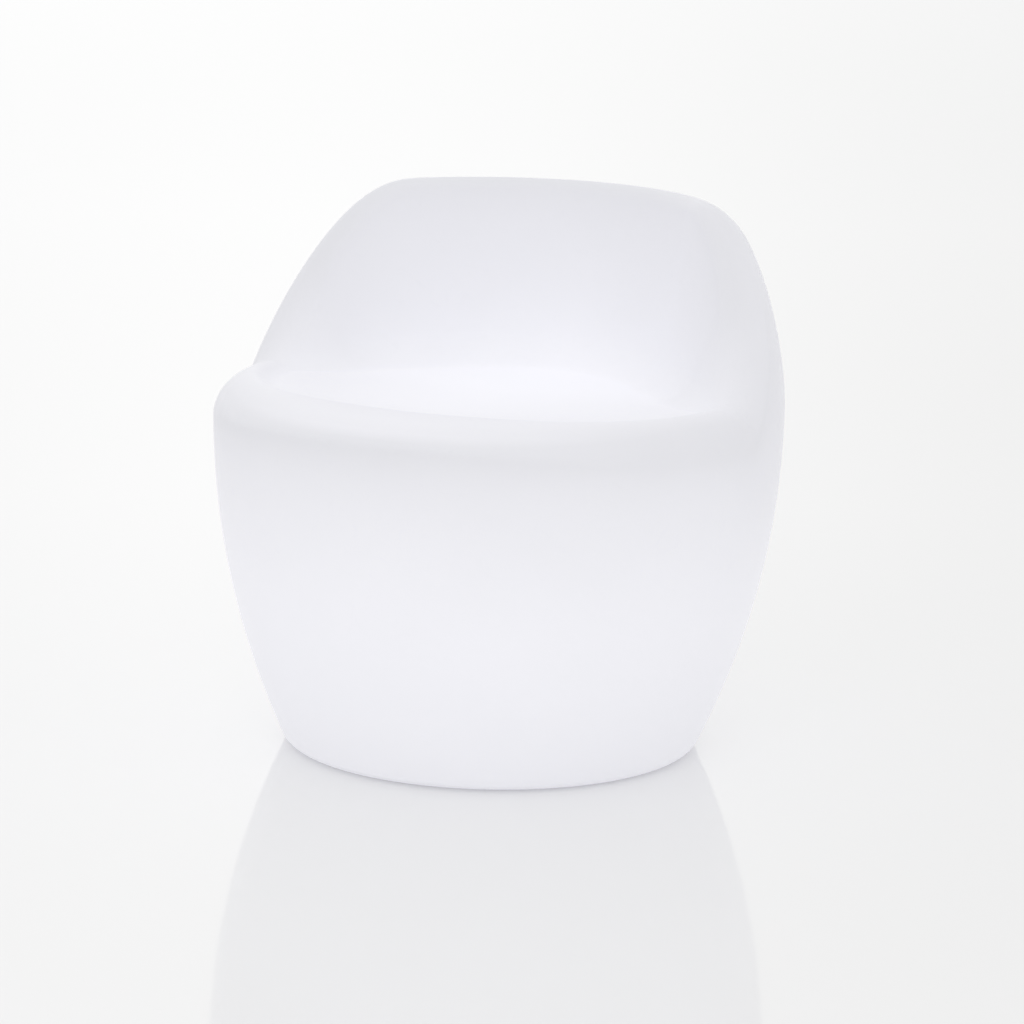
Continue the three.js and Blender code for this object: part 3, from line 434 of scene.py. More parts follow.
@dataclass(frozen=True)
class MetalFinish:
    """Turned or rolled metal: fine lines, cloudy tarnish and a soft gloss."""

    name: str
    slot: Slot
    colour: Colour
    roughness: float
    line_size: float = 0.0004
    line_depth: float = 0.000008
    tarnish: float = 0.25
    tarnish_size: float = 0.004
    gloss_change: float = 0.1

    def material(self) -> bpy.types.Material:
        """Builds the material.

        Returns:
            The finished material.
        """
        surface = Surface(self.name)
        lines = surface.effect(effects.lines, Size=self.line_size)
        marks = surface.effect(effects.marks, Size=self.tarnish_size, Amount=1.0)
        dull = shade(self.colour, 1 - self.tarnish)
        colour = surface.mix(marks.outputs["Mask"], self.colour, dull)
        low, high = self.roughness - self.gloss_change, self.roughness + self.gloss_change
        surface.set(Base_Color=colour, Metallic=1.0, Roughness=surface.ramp(marks.outputs["Mask"], low, high))
        surface.relief(lines.outputs["Height"], self.line_depth)
        return surface.material


@dataclass(frozen=True)
class GlowingFinish:
    """Light-spreading polyethylene with a painted glow: emission painted from its glow attribute stands in
    for being lit from inside.
    """

    name: str = "polyethylene_painted_glow"
    slot: Slot = Slot.SHELL
    colour: Colour = (0.70, 0.70, 0.733, 1.0)
    glow_tint: Colour = (0.955, 0.955, 1.0, 1.0)
    glow_strength: float = 1.047
    roughness: float = 0.46
    gloss_change: float = 0.05
    sheen: float = 0.2
    peel_size: float = 0.0042
    peel_depth: float = 0.00004
    wave_size: float = 0.11
    wave_depth: float = 0.0012
    cloud_share: float = 0.012

    def material(self) -> bpy.types.Material:
        """Builds the material.

        Returns:
            The finished material.
        """
        surface = Surface(self.name)
        peel = surface.effect(effects.grain, Size=self.peel_size)
        wave = surface.effect(effects.grain, Size=self.wave_size)
        marks = surface.effect(effects.marks, Size=self.wave_size, Amount=1.0)
        colour = surface.mix(marks.outputs["Mask"], self.colour, shade(self.colour, 1 - self.cloud_share))
        # Painted glow: the emission colour is painted from the glow attribute, which holds painted light and
        # painted shade.
        glow = surface.add("ShaderNodeAttribute", attribute_name=Glow.ATTRIBUTE).outputs["Fac"]
        cloud = surface.ramp(wave.outputs["Mask"], 1 - self.cloud_share, 1 + self.cloud_share)
        lit = surface.mix(surface.maths("MULTIPLY", glow, cloud), BLACK, self.glow_tint)
        low, high = self.roughness - self.gloss_change, self.roughness + self.gloss_change
        surface.set(Base_Color=colour, Roughness=surface.ramp(peel.outputs["Mask"], low, high))
        surface.set(Emission_Color=lit, Emission_Strength=self.glow_strength)
        surface.set(Specular_IOR_Level=self.sheen)
        fine = surface.maths("MULTIPLY", peel.outputs["Height"], self.peel_depth / self.wave_depth)
        surface.relief(surface.maths("ADD", fine, wave.outputs["Height"]), self.wave_depth)
        return surface.material


@dataclass(frozen=True)
class BoardFinish:
    """Lacquered circuit board: tracks under the lacquer, and soldered spots."""

    name: str
    slot: Slot
    lacquer: Colour
    track: Colour
    roughness: float = 0.35
    track_size: float = 0.004
    spot_size: float = 0.0025
    spot_colour: Colour = (0.75, 0.74, 0.7, 1.0)
    spot_radius: float = 0.12
    spot_edge: float = 0.16
    second_shade: float = 1.2
    relief_depth: float = 0.00003

    def material(self) -> bpy.types.Material:
        """Builds the material.

        Returns:
            The finished material.
        """
        surface = Surface(self.name)
        tracks = surface.add("ShaderNodeTexBrick", {
            "Vector": surface.scaled(surface.place, self.track_size), "Scale": 1.0, "Mortar Size": 0.06,
            "Color1": self.lacquer, "Color2": shade(self.lacquer, self.second_shade),
            "Mortar": self.track,
        })
        spots = surface.add("ShaderNodeTexVoronoi", {
            "Vector": surface.scaled(surface.place, self.spot_size), "Scale": 1.0, "Randomness": 0.3})
        solder = surface.ramp(spots.outputs["Distance"], low=1.0, high=0.0, start=self.spot_radius,
                              end=self.spot_edge)
        surface.set(Base_Color=surface.mix(solder, tracks.outputs["Color"], self.spot_colour))
        surface.set(Roughness=self.roughness, Metallic=solder)
        surface.relief(tracks.outputs["Fac"], self.relief_depth)
        return surface.material


@dataclass(frozen=True)
class SleeveFinish:
    """Shrunk film: glossy, with faint creases along the piece."""

    name: str
    slot: Slot
    colour: Colour
    roughness: float = 0.25
    worn_roughness: float = 0.5
    worn_shade: float = 0.8
    crease_size: float = 0.003
    crease_depth: float = 0.00004

    def material(self) -> bpy.types.Material:
        """Builds the material.

        Returns:
            The finished material.
        """
        surface = Surface(self.name)
        creases = surface.effect(effects.lines, Size=self.crease_size)
        marks = surface.effect(effects.marks, Size=self.crease_size, Amount=1.0)
        worn = shade(self.colour, self.worn_shade)
        surface.set(Base_Color=surface.mix(marks.outputs["Mask"], self.colour, worn))
        surface.set(Roughness=surface.ramp(creases.outputs["Mask"], self.roughness, self.worn_roughness))
        surface.relief(creases.outputs["Height"], self.crease_depth)
        return surface.material


@dataclass(frozen=True)
class LampFinish:
    """Lit plastic of the light dome or of a light chip: a milky skin that shines evenly."""

    name: str
    slot: Slot
    colour: Colour
    strength: float
    roughness: float = 0.3
    cloud_size: float = 0.012
    cloud_shade: float = 0.92
    cloud_depth: float = 0.00003

    def material(self) -> bpy.types.Material:
        """Builds the material.

        Returns:
            The finished material.
        """
        surface = Surface(self.name)
        clouds = surface.effect(effects.grain, Size=self.cloud_size)
        colour = surface.mix(clouds.outputs["Mask"], self.colour, shade(self.colour, self.cloud_shade))
        surface.set(Base_Color=colour, Roughness=self.roughness, Emission_Color=colour)
        surface.set(Emission_Strength=self.strength)
        surface.relief(clouds.outputs["Height"], self.cloud_depth)
        return surface.material


class Finishes:
    """Every finish, built once."""

    def __init__(self) -> None:
        """Builds the materials by their slots."""
        kinds = [
            GlowingFinish(),
            MouldedFinish("foot_rubber", Slot.RUBBER, (0.028, 0.028, 0.03, 1.0), roughness=0.75, dust=0.5),
            MetalFinish("bolt_steel", Slot.STEEL, (0.52, 0.53, 0.55, 1.0), roughness=0.32),
            MetalFinish("insert_brass", Slot.BRASS, (0.58, 0.37, 0.1, 1.0), roughness=0.35),
            MouldedFinish("housing_plastic", Slot.HOUSING, (0.74, 0.745, 0.74, 1.0), roughness=0.48),
            MouldedFinish("sealing_silicone", Slot.SILICONE, (0.5, 0.51, 0.53, 1.0), roughness=0.6,
                          dust=0.25),
            MetalFinish("plate_aluminium", Slot.ALUMINIUM, (0.6, 0.61, 0.62, 1.0), roughness=0.38,
                        tarnish=0.12),
            BoardFinish("white_board", Slot.LIGHT_BOARD, lacquer=(0.8, 0.8, 0.78, 1.0),
                        track=(0.68, 0.68, 0.66, 1.0)),
            LampFinish("light_chip", Slot.LED, (1.0, 0.88, 0.6, 1.0), strength=1.5),
            LampFinish("milky_dome", Slot.DOME, (0.9, 0.92, 0.96, 1.0), strength=0.8),
            MouldedFinish("black_plastic", Slot.BLACK_PLASTIC, (0.02, 0.02, 0.022, 1.0), roughness=0.45),
            SleeveFinish("cell_film", Slot.CELL_SLEEVE, (0.04, 0.2, 0.42, 1.0)),
            BoardFinish("green_board", Slot.BOARD, lacquer=(0.012, 0.1, 0.035, 1.0),
                        track=(0.03, 0.2, 0.07, 1.0)),
            MouldedFinish("red_sleeve", Slot.RED_WIRE, (0.42, 0.02, 0.02, 1.0), roughness=0.42,
                          grain_size=0.0008),
            MouldedFinish("black_sleeve", Slot.BLACK_WIRE, (0.02, 0.02, 0.022, 1.0), roughness=0.42,
                          grain_size=0.0008),
        ]
        self.materials = {finish.slot: finish.material() for finish in kinds}

    def dress(self, piece: bpy.types.Object, slot: Slot) -> None:
        """Gives a new piece the finish of a slot.

        Args:
            piece: The new piece.
            slot: The slot whose finish it wears.
        """
        piece.data.materials.clear()
        piece.data.materials.append(self.materials[slot])

    def dress_nodes(self) -> None:
        """Gives every CAD node the finish of its slot in the record."""
        for row in frame["record"]["subparts"]:
            node = frame["nodes"][row["node"]]
            node.data.materials.clear()
            node.data.materials.append(self.materials[Slot(row["material_slot"])])
            log.info("%s wears %s", row["node"], row["material_slot"])


def settle(piece: bpy.types.Object) -> None:
    """Turns a piece and its modifiers into one plain mesh.

    Args:
        piece: The piece, whose modifiers are used up.
    """
    bpy.context.view_layer.update()
    shown = piece.evaluated_get(bpy.context.evaluated_depsgraph_get())
    rough = piece.data
    mesh = bpy.data.meshes.new_from_object(shown)
    piece.modifiers.clear()
    piece.data = mesh
    mesh.name = piece.name
    bpy.data.meshes.remove(rough)


def make_piece(name: str, bm: bmesh.types.BMesh) -> bpy.types.Object:
    """Puts a built mesh into the scene as an object at the origin.

    Args:
        name: The piece's name.
        bm: The built mesh, which is freed.

    Returns:
        The new object.
    """
    mesh = bpy.data.meshes.new(name)
    bm.to_mesh(mesh)
    bm.free()
    piece = bpy.data.objects.new(name, mesh)
    bpy.context.scene.collection.objects.link(piece)
    return piece


def work(body: bpy.types.Object, tool: bpy.types.Object, how: Work) -> None:
    """Joins a tool solid to a body or cuts it out, and removes the tool.

    Args:
        body: The solid that stays.
        tool: The solid that is joined or cut out.
        how: What the tool does.
    """
    modifier = body.modifiers.new(how.name, "BOOLEAN")
    modifier.operation = how.value
    modifier.solver = "MANIFOLD"
    modifier.object = tool
    settle(body)
    bpy.data.objects.remove(tool)


def smooth_faces(piece: bpy.types.Object, crease_angle: float = math.radians(32)) -> None:
    """Shades a piece smooth, with its sharp edges kept."""
    piece.data.shade_smooth()
    piece.data.set_sharp_from_angle(angle=crease_angle)


def posts(places: Iterable[Place], radius: float, bottom: float, top: float,
          sides: int = 48) -> bpy.types.Object:
    """Upright round posts, one at each place.

    Args:
        places: The posts' middles in X and Y.
        radius: Their radius.
        bottom: Where they start.
        top: Where they end.
        sides: How many flat sides stand for the round.

    Returns:
        One object with all the posts.
    """
    bm = bmesh.new()
    for x, y in places:
        middle = Matrix.Translation((x, y, (bottom + top) / 2))
        bmesh.ops.create_cone(bm, cap_ends=True, segments=sides, radius1=radius, radius2=radius,
                              depth=top - bottom, matrix=middle)
    return make_piece("posts", bm)


def turned(outline: Outline, middle: Place = (0.0, 0.0), steps: int = 64,
           edge: float = 0.0) -> bmesh.types.BMesh:
    """A solid turned about an upright line through its middle.

    Args:
        outline: Radius and height of each point. It ends on the axis or closes on itself.
        middle: The axis in X and Y.
        steps: How many steps the turn has.
        edge: The bevel on its sharp edges, or none.

    Returns:
        The mesh.
    """
    bm = bmesh.new()
    x, y = middle
    points = [bm.verts.new((x + radius, y, height)) for radius, height in outline]
    lines = [bm.edges.new(pair) for pair in zip(points, points[1:])]
    if min(radius for radius, _ in (outline[0], outline[-1])) > 0:
        lines.append(bm.edges.new((points[-1], points[0])))
    bmesh.ops.spin(bm, geom=points + lines, cent=(x, y, 0), axis=(0, 0, 1), angle=TURN, steps=steps,
                   use_merge=True)
    bmesh.ops.remove_doubles(bm, verts=bm.verts, dist=SAME_POINT)
    bmesh.ops.dissolve_degenerate(bm, edges=bm.edges, dist=NO_LENGTH)
    bmesh.ops.recalc_face_normals(bm, faces=bm.faces)
    if edge > 0:
        bevel_edges(bm, edge)
    return bm


def bevel_edges(bm: bmesh.types.BMesh, width: float, segments: int = 2,
                limit: float = math.radians(40)) -> None:
    """Rounds every edge that is sharper than a limit.

    Args:
        bm: The mesh.
        width: The bevel's width.
        segments: How many faces go round it.
        limit: The least angle between an edge's faces that counts as sharp.
    """
    sharp = [edge for edge in bm.edges if len(edge.link_faces) == 2 and edge.calc_face_angle() > limit]
    bmesh.ops.bevel(bm, geom=sharp, offset=width, segments=segments, profile=0.5, affect="EDGES",
                    material=-1, clamp_overlap=True)


def block(low: Corner, high: Corner, edge: float) -> bmesh.types.BMesh:
    """A block between two corners with rounded edges.

    Args:
        low: The corner with the lowest coordinates.
        high: The corner with the highest coordinates.
        edge: The bevel on its edges.

    Returns:
        The mesh.
    """
    bm = bmesh.new()
    size = Vector(high) - Vector(low)
    middle = Matrix.Translation((Vector(high) + Vector(low)) / 2)
    bmesh.ops.create_cube(bm, size=1.0, matrix=middle @ Matrix.Diagonal((*size, 1.0)))
    bevel_edges(bm, edge)
    return bm


def middle_of(node: str) -> Vector:
    """The middle of a CAD node's box."""
    low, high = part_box(node)
    return (low + high) / 2


def places_of(pattern: str, count: int) -> list[Place]:
    """The middles of numbered CAD nodes, in X and Y."""
    return [tuple(middle_of(pattern.format(index)).xy) for index in range(1, count + 1)]


def round_corner(radius: float, bottom: float, edge: float, steps: int) -> Outline:
    """The round corner of a disc's outline, from its underside up to its side.

    Args:
        radius: The disc's radius.
        bottom: The underside's height.
        edge: The corner's radius.
        steps: How many steps stand for the round.

    Returns:
        Radius and height of each point.
    """
    angles = [QUARTER * step / steps for step in range(steps + 1)]
    return [(radius - edge * (1 - math.sin(angle)), bottom + edge * (1 - math.cos(angle)))
            for angle in angles]


def pointing(azimuth: float, elevation: float) -> Vector:
    """The direction from the stool to a place, with azimuth counted from the front towards +X."""
    flat = math.cos(elevation)
    return Vector((math.sin(azimuth) * flat, -math.cos(azimuth) * flat, math.sin(elevation)))


def rises(value: float) -> float:
    """Rises from 0 to 1 with no kink at either end."""
    t = min(max(value, 0.0), 1.0)
    return t * t * t * (t * (6 * t - 15) + 10)


def between(low: float, high: float, share: float) -> float:
    """The value a share of the way from low to high."""
    return low + (high - low) * share


@dataclass(frozen=True)
class Sizes:
    """One size at the front, the sides and the back of the shell."""

    front: float
    side: float
    rear: float

    def mix(self, to_side: float, to_rear: float) -> float:
        """The size part of the way to the side and from there to the back."""
        return between(between(self.front, self.side, to_side), self.rear, to_rear)


@dataclass(frozen=True)
class SoftStep:
    """A soft step down: an arc over the edge, a straight slope and an arc into the floor."""

    height: float
    edge: float
    foot: float
    slope: float

    @property
    def bend(self) -> float:
        """How far an arc of radius 1 falls."""
        return 1 - math.cos(self.slope)

    @property
    def straight(self) -> float:
        """The slope's length between the arcs."""
        return (self.height - (self.edge + self.foot) * self.bend) / math.sin(self.slope)

    @property
    def foot_run(self) -> float:
        """How far in the lower arc starts."""
        return self.edge * math.sin(self.slope) + self.straight * math.cos(self.slope)

    @property
    def run(self) -> float:
        """How far in the whole step ends."""
        return self.foot_run + self.foot * math.sin(self.slope)

    def edge_arc(self, share: float) -> Place:
        """Run and fall along the upper arc."""
        angle = self.slope * share
        return self.edge * math.sin(angle), self.edge * (1 - math.cos(angle))

    def slope_line(self, share: float) -> Place:
        """Run and fall along the slope.

        Args:
            share: How much of the slope is passed.

        Returns:
            The run and the fall.
        """
        length = share * self.straight
        run = self.edge * math.sin(self.slope) + length * math.cos(self.slope)
        return run, self.edge * self.bend + length * math.sin(self.slope)

    def foot_arc(self, share: float) -> Place:
        """Run and fall along the lower arc.

        Args:
            share: How much of the arc is passed.

        Returns:
            The run and the fall.
        """
        angle = self.slope * (1 - share)
        run = self.foot_run + self.foot * (math.sin(self.slope) - math.sin(angle))
        return run, self.height - self.foot * (1 - math.cos(angle))


@dataclass(frozen=True)
class Stretch:
    """A stretch of the section: its rows, and radius and height at a share of it."""

    rows: int
    at: Curve


@dataclass(frozen=True)
class ShellForm:
    """The shell's outer form round its upright axis."""

    axis_y: float
    base_height: float = 0.002
    wall: float = 0.0045
    base_reach: float = 0.209
    side_reach: float = 0.290
    front_reach: float = 0.277
    rear_reach: float = 0.305
    side_top_reach: float = 0.227
    front_top_reach: float = 0.210
    rear_top_reach: float = 0.232
    widest_height: float = 0.354
    rear_widest_height: float = 0.400
    lower_power: float = 2.15
    upper_power: float = 1.67
    rear_upper_power: float = 3.5
    back_height: float = 0.556
    front_rim_height: float = 0.373
    side_rim_rise: float = 0.001
    seat_height: float = 0.365
    arm_start: float = math.radians(87.3)
    arm_end: float = math.radians(131)
    arm_power: float = 0.6
    side_blend_end: float = math.radians(85)
    roll_height: Sizes = Sizes(0.023, 0.041, 0.037)
    roll_depth: Sizes = Sizes(0.080, 0.035, 0.019)
    lip: Sizes = Sizes(0.050, 0.035, 0.014)
    crease: Sizes = Sizes(0.070, 0.070, 0.040)
    slope: Sizes = Sizes(math.radians(26), math.radians(34), math.radians(81))
    drop_share: float = 0.92
    base_edge: float = 0.008
    well_depth: float = 0.034
    well_roof: float = 0.098
    well_corner: float = 0.010
    well_mouth: float = 0.014
    well_slope: float = math.radians(65)
    module_hole: float = 0.068
    wall_row_power: float = 1.25
    roof_rows: int = 3
    well_arc_rows: int = 6
    well_slope_rows: int = 3
    underside_rows: int = 6
    base_edge_rows: int = 8
    wall_rows: int = 44
    roll_rows: int = 14
    lip_rows: int = 8
    slope_rows: int = 12
    crease_rows: int = 12
    seat_rows: int = 12

    def reach(self, height: float, widest: float, top: float, widest_at: float, power: float) -> float:
        """The wall's reach from the axis in one of its directions.

        Args:
            height: Where it is asked for.
            widest: The widest reach.
            top: The reach at the back's height.
            widest_at: The height of the widest reach.
            power: How sharply the wall draws in above it.

        Returns:
            The reach.
        """
        if height < widest_at:
            below = max((widest_at - height) / widest_at, 0.0)
            return widest - (widest - self.base_reach) * below ** self.lower_power
        above = (height - widest_at) / (self.back_height - widest_at)
        return widest - (widest - top) * above ** power

    def barrel(self, direction: float, height: float) -> float:
        """The outer radius at a place on the wall.

        Args:
            direction: Counted from the front towards +X.
            height: The place's height.

        Returns:
            The radius.
        """
        side = self.reach(height, self.side_reach, self.side_top_reach, self.widest_height, self.upper_power)
        if math.cos(direction) > 0:
            end = self.reach(height, self.front_reach, self.front_top_reach, self.widest_height,
                             self.upper_power)
        else:
            end = self.reach(height, self.rear_reach, self.rear_top_reach, self.rear_widest_height,
                             self.rear_upper_power)
        return 1 / math.hypot(math.sin(direction) / side, math.cos(direction) / end)

    def climb(self, direction: float) -> float:
        """How far the arm has climbed to the back's height in a direction, from 0 to 1."""
        share = (abs(direction) - self.arm_start) / (self.arm_end - self.arm_start)
        return rises(min(max(share, 0.0), 1.0) ** self.arm_power)

    def rim_height(self, direction: float) -> float:
        """The rim's height.

        Args:
            direction: Counted from the front towards +X.

        Returns:
            The height.
        """
        to_side = min(abs(direction), QUARTER)
        low = self.front_rim_height + self.side_rim_rise * math.sin(to_side) ** 2
        return between(low, self.back_height, self.climb(direction))

    def section(self, direction: float) -> list[Stretch]:
        """The section in a direction, from the module hole to the middle of the seat.

        Args:
            direction: Counted from the front towards +X.

        Returns:
            Its stretches in order.
        """
        around = abs(direction)
        climb = self.climb(direction)
        rim = self.rim_height(direction)
        to_side = rises(around / self.side_blend_end)
        to_rear = 1 - (1 - climb) ** 2
        roll_height = self.roll_height.mix(to_side, to_rear)
        roll_depth = self.roll_depth.mix(to_side, to_rear)
        drop = self.fitted_step(rim - self.seat_height, self.lip.mix(to_side, to_rear),
                                self.crease.mix(to_side, to_rear), self.slope.mix(to_side, to_rear))
        well = self.fitted_step(self.well_depth, self.well_corner, self.well_mouth, self.well_slope)
        roof = self.base_height + self.well_depth
        edge_top = self.base_height + self.base_edge
        edge_start = self.barrel(direction, self.base_height) - self.base_edge
        roll_start = rim - roll_height
        crest = self.barrel(direction, rim) - roll_depth

        def in_well(part: Curve) -> Curve:
            """Hangs a part of the well's step from the well's roof."""
            return lambda s: (self.well_roof + part(s)[0], roof - part(s)[1])

        def in_seat(part: Curve) -> Curve:
            """Hangs a part of the seat's step from the rim's crest."""
            return lambda s: (crest - part(s)[0], rim - part(s)[1])

        def base_edge(s: float) -> Place:
            """The round edge between the underside and the wall."""
            height = edge_top - self.base_edge * math.cos(QUARTER * s)
            return self.barrel(direction, height) - self.base_edge * (1 - math.sin(QUARTER * s)), height

        def outer_wall(s: float) -> Place:
            """The barrel's wall, with its rows closer together towards the top."""
            height = between(edge_top, roll_start, 1 - (1 - s) ** self.wall_row_power)
            return self.barrel(direction, height), height

        def rim_roll(s: float) -> Place:
            """The roll from the wall over to the rim's crest."""
            height = roll_start + roll_height * math.sin(QUARTER * s)
            return self.barrel(direction, height) - roll_depth * (1 - math.cos(QUARTER * s)), height

        underside_start = self.well_roof + well.run
        return [
            Stretch(self.roof_rows, lambda s: (between(self.module_hole, self.well_roof, s), roof)),
            Stretch(self.well_arc_rows, in_well(well.edge_arc)),
            Stretch(self.well_slope_rows, in_well(well.slope_line)),
            Stretch(self.well_arc_rows, in_well(well.foot_arc)),
            Stretch(self.underside_rows,
                    lambda s: (between(underside_start, edge_start, s), self.base_height)),
            Stretch(self.base_edge_rows, base_edge),
            Stretch(self.wall_rows, outer_wall),
            Stretch(self.roll_rows, rim_roll),
            Stretch(self.lip_rows, in_seat(drop.edge_arc)),
            Stretch(self.slope_rows, in_seat(drop.slope_line)),
            Stretch(self.crease_rows, in_seat(drop.foot_arc)),
            Stretch(self.seat_rows, lambda s: ((crest - drop.run) * (1 - s), self.seat_height)),
        ]

    def fitted_step(self, height: float, edge: float, foot: float, slope: float) -> SoftStep:
        """A soft step whose arcs shrink until they fit into its height."""
        fit = min(1.0, self.drop_share * height / ((edge + foot) * (1 - math.cos(slope))))
        return SoftStep(height, edge * fit, foot * fit, slope)

    def column(self, direction: float) -> list[Vector]:
        """The section's points in a direction, one for each row.

        Args:
            direction: Counted from the front towards +X.

        Returns:
            The points, from the module hole to the middle of the seat.
        """
        stretches = self.section(direction)
        places = [part.at(row / part.rows) for part in stretches for row in range(part.rows)]
        places.append(stretches[-1].at(1.0))
        across, along = math.sin(direction), -math.cos(direction)
        return [Vector((radius * across, self.axis_y + radius * along, height)) for radius, height in places]


@dataclass(frozen=True)
class Glow:
    """A painted glow on the shell: emission painted by place, standing in for the light module's light.

    The wall beside the lamp gets the most painted glow, the seat is painted as lit from below, and the double
    wall of the back gets less and less towards its rim, where it is thickest. Painted shade darkens the rims
    and a band under the low front rim, and painted light brightens the front lip.
    """

    form: ShellForm
    # Painted glow on the barrel's outer wall: an even level and a brighter painted band beside the lamp.
    scatter: float = 0.206
    belt_height: float = 0.156
    belt_strength: float = 0.097
    spread_below: float = 0.232
    spread_above: float = 0.153
    # Painted glow on the seat, brightest in its middle.
    seat_glow: float = 0.319
    seat_glow_reach: float = 0.16
    seat_glow_fall: float = 1.46
    most_outward: float = 1.3
    # Painted shade on the seat's glow towards the front, the sides and up the back's inner face.
    front_drop: float = 0.045
    side_drop: float = 0.024
    back_drop: float = 0.14
    back_power: float = 0.35
    # Painted shade at the rim, on its inner and outer face, where the rim rises high.
    rim_drop: float = 0.038
    rim_width: float = 0.027
    outer_rim_drop: float = 0.059
    full_drop_height: float = 0.1
    low_share: float = 0.32
    # Painted shade in a band just under the low front rim.
    fold_drop: float = 0.065
    fold_depth: float = 0.01
    fold_width: float = 0.038
    # Painted light that brightens the front lip.
    lip_lift: float = 0.042
    lip_start: float = 0.19
    lip_width: float = 0.04
    inside_height: float = 0.3
    inside_start: float = 0.63
    inside_blend: float = 0.73
    directions: int = 720

    ATTRIBUTE = "glow"
    LEAST_RADIUS = 1e-6

    def outside(self, heights: np.ndarray, depth: np.ndarray, rise: np.ndarray) -> np.ndarray:
        """The painted glow of the barrel's outer wall, with painted shade under the rim.

        Args:
            heights: The places' heights.
            depth: How far each place lies under the rim.
            rise: How far the rim rises above the seat there.

        Returns:
            One value for each place.
        """
        spread = np.where(heights < self.belt_height, self.spread_below, self.spread_above)
        # Painted light: a brighter band on the wall beside the lamp.
        painted_belt = self.belt_strength * np.exp(-((heights - self.belt_height) / spread) ** 2)
        thick = np.clip(rise / self.full_drop_height, 0.0, 1.0)
        # Painted shade near a high rim, and in a band just under the low front rim.
        rim = self.outer_rim_drop * thick * np.exp(-depth / self.rim_width)
        painted_fold_band = self.fold_drop * np.exp(-((depth - self.fold_depth) / self.fold_width) ** 2)
        return self.scatter + painted_belt - rim - painted_fold_band * (1 - thick)

    def inside(self, across: np.ndarray, depth: np.ndarray, rise: np.ndarray) -> np.ndarray:
        """The painted glow of the seat and of the back's inner face, with painted shade and painted light.

        Args:
            across: The places' offsets from the axis in X and Y, a row each.
            depth: How far each place lies under the rim.
            rise: How far the rim rises above the seat there.

        Returns:
            One value for each place.
        """
        radius = np.maximum(np.linalg.norm(across, axis=1), self.LEAST_RADIUS)
        thick = np.clip(rise / self.full_drop_height, 0.0, 1.0)
        share = np.clip(1 - depth / rise, 0.0, 1.0)
        outward = np.minimum(radius / self.seat_glow_reach, self.most_outward) ** self.seat_glow_fall
        outward = outward * (1 - thick * share)
        # Painted shade towards the front and the sides of the seat.
        front = self.front_drop * (1 - across[:, 1] / radius) / 2 * outward
        side = self.side_drop * np.abs(across[:, 0]) / radius * outward
        # Painted shade up the back's inner face and at its rim.
        back = self.back_drop * (self.low_share + (1 - self.low_share) * thick) * share ** self.back_power
        rim = self.rim_drop * thick * np.exp(-depth / self.rim_width)
        # Painted light on the front lip, where the rim is low.
        forward = np.clip(-across[:, 1] / radius, 0.0, 1.0)
        on_lip = np.clip((radius - self.lip_start) / self.lip_width, 0.0, 1.0)
        lip = self.lip_lift * (1 - thick) * on_lip * forward
        return self.seat_glow - front - side - back - rim + lip

    def at(self, places: np.ndarray, normals: np.ndarray) -> np.ndarray:
        """The painted glow at many places of the surface.

        Args:
            places: Their coordinates, a row each.
            normals: Their outward normals, a row each.

        Returns:
            One value for each place.
        """
        turns = np.linspace(-math.pi, math.pi, self.directions + 1)
        rims = np.array([self.form.rim_height(turn) for turn in turns])
        across = places[:, :2] - np.array([0.0, self.form.axis_y])
        radius = np.maximum(np.linalg.norm(across, axis=1), self.LEAST_RADIUS)
        rim = np.interp(np.arctan2(across[:, 0], -across[:, 1]), turns, rims)
        depth = np.maximum(rim - places[:, 2], 0.0)
        rise = rim - self.form.seat_height
        leaning = np.sum(across * normals[:, :2], axis=1) / radius
        share = np.clip((self.inside_start - leaning) / self.inside_blend, 0.0, 1.0)
        share = np.where(places[:, 2] > self.inside_height, share, 0.0)
        outer = self.outside(places[:, 2], depth, rise)
        return (1 - share) * outer + share * self.inside(across, depth, rise)

    def paint(self, piece: bpy.types.Object) -> None:
        """Writes the painted glow into a piece's attribute.

        Args:
            piece: The piece, in the stool's frame.
        """
        mesh = piece.data
        places = np.zeros(len(mesh.vertices) * 3)
        normals = np.zeros(len(mesh.vertices) * 3)
        mesh.vertices.foreach_get("co", places)
        mesh.vertices.foreach_get("normal", normals)
        values = self.at(places.reshape(-1, 3), normals.reshape(-1, 3))
        attribute = mesh.attributes.new(self.ATTRIBUTE, "FLOAT", "POINT")
        attribute.data.foreach_set("value", values.astype(np.float32))


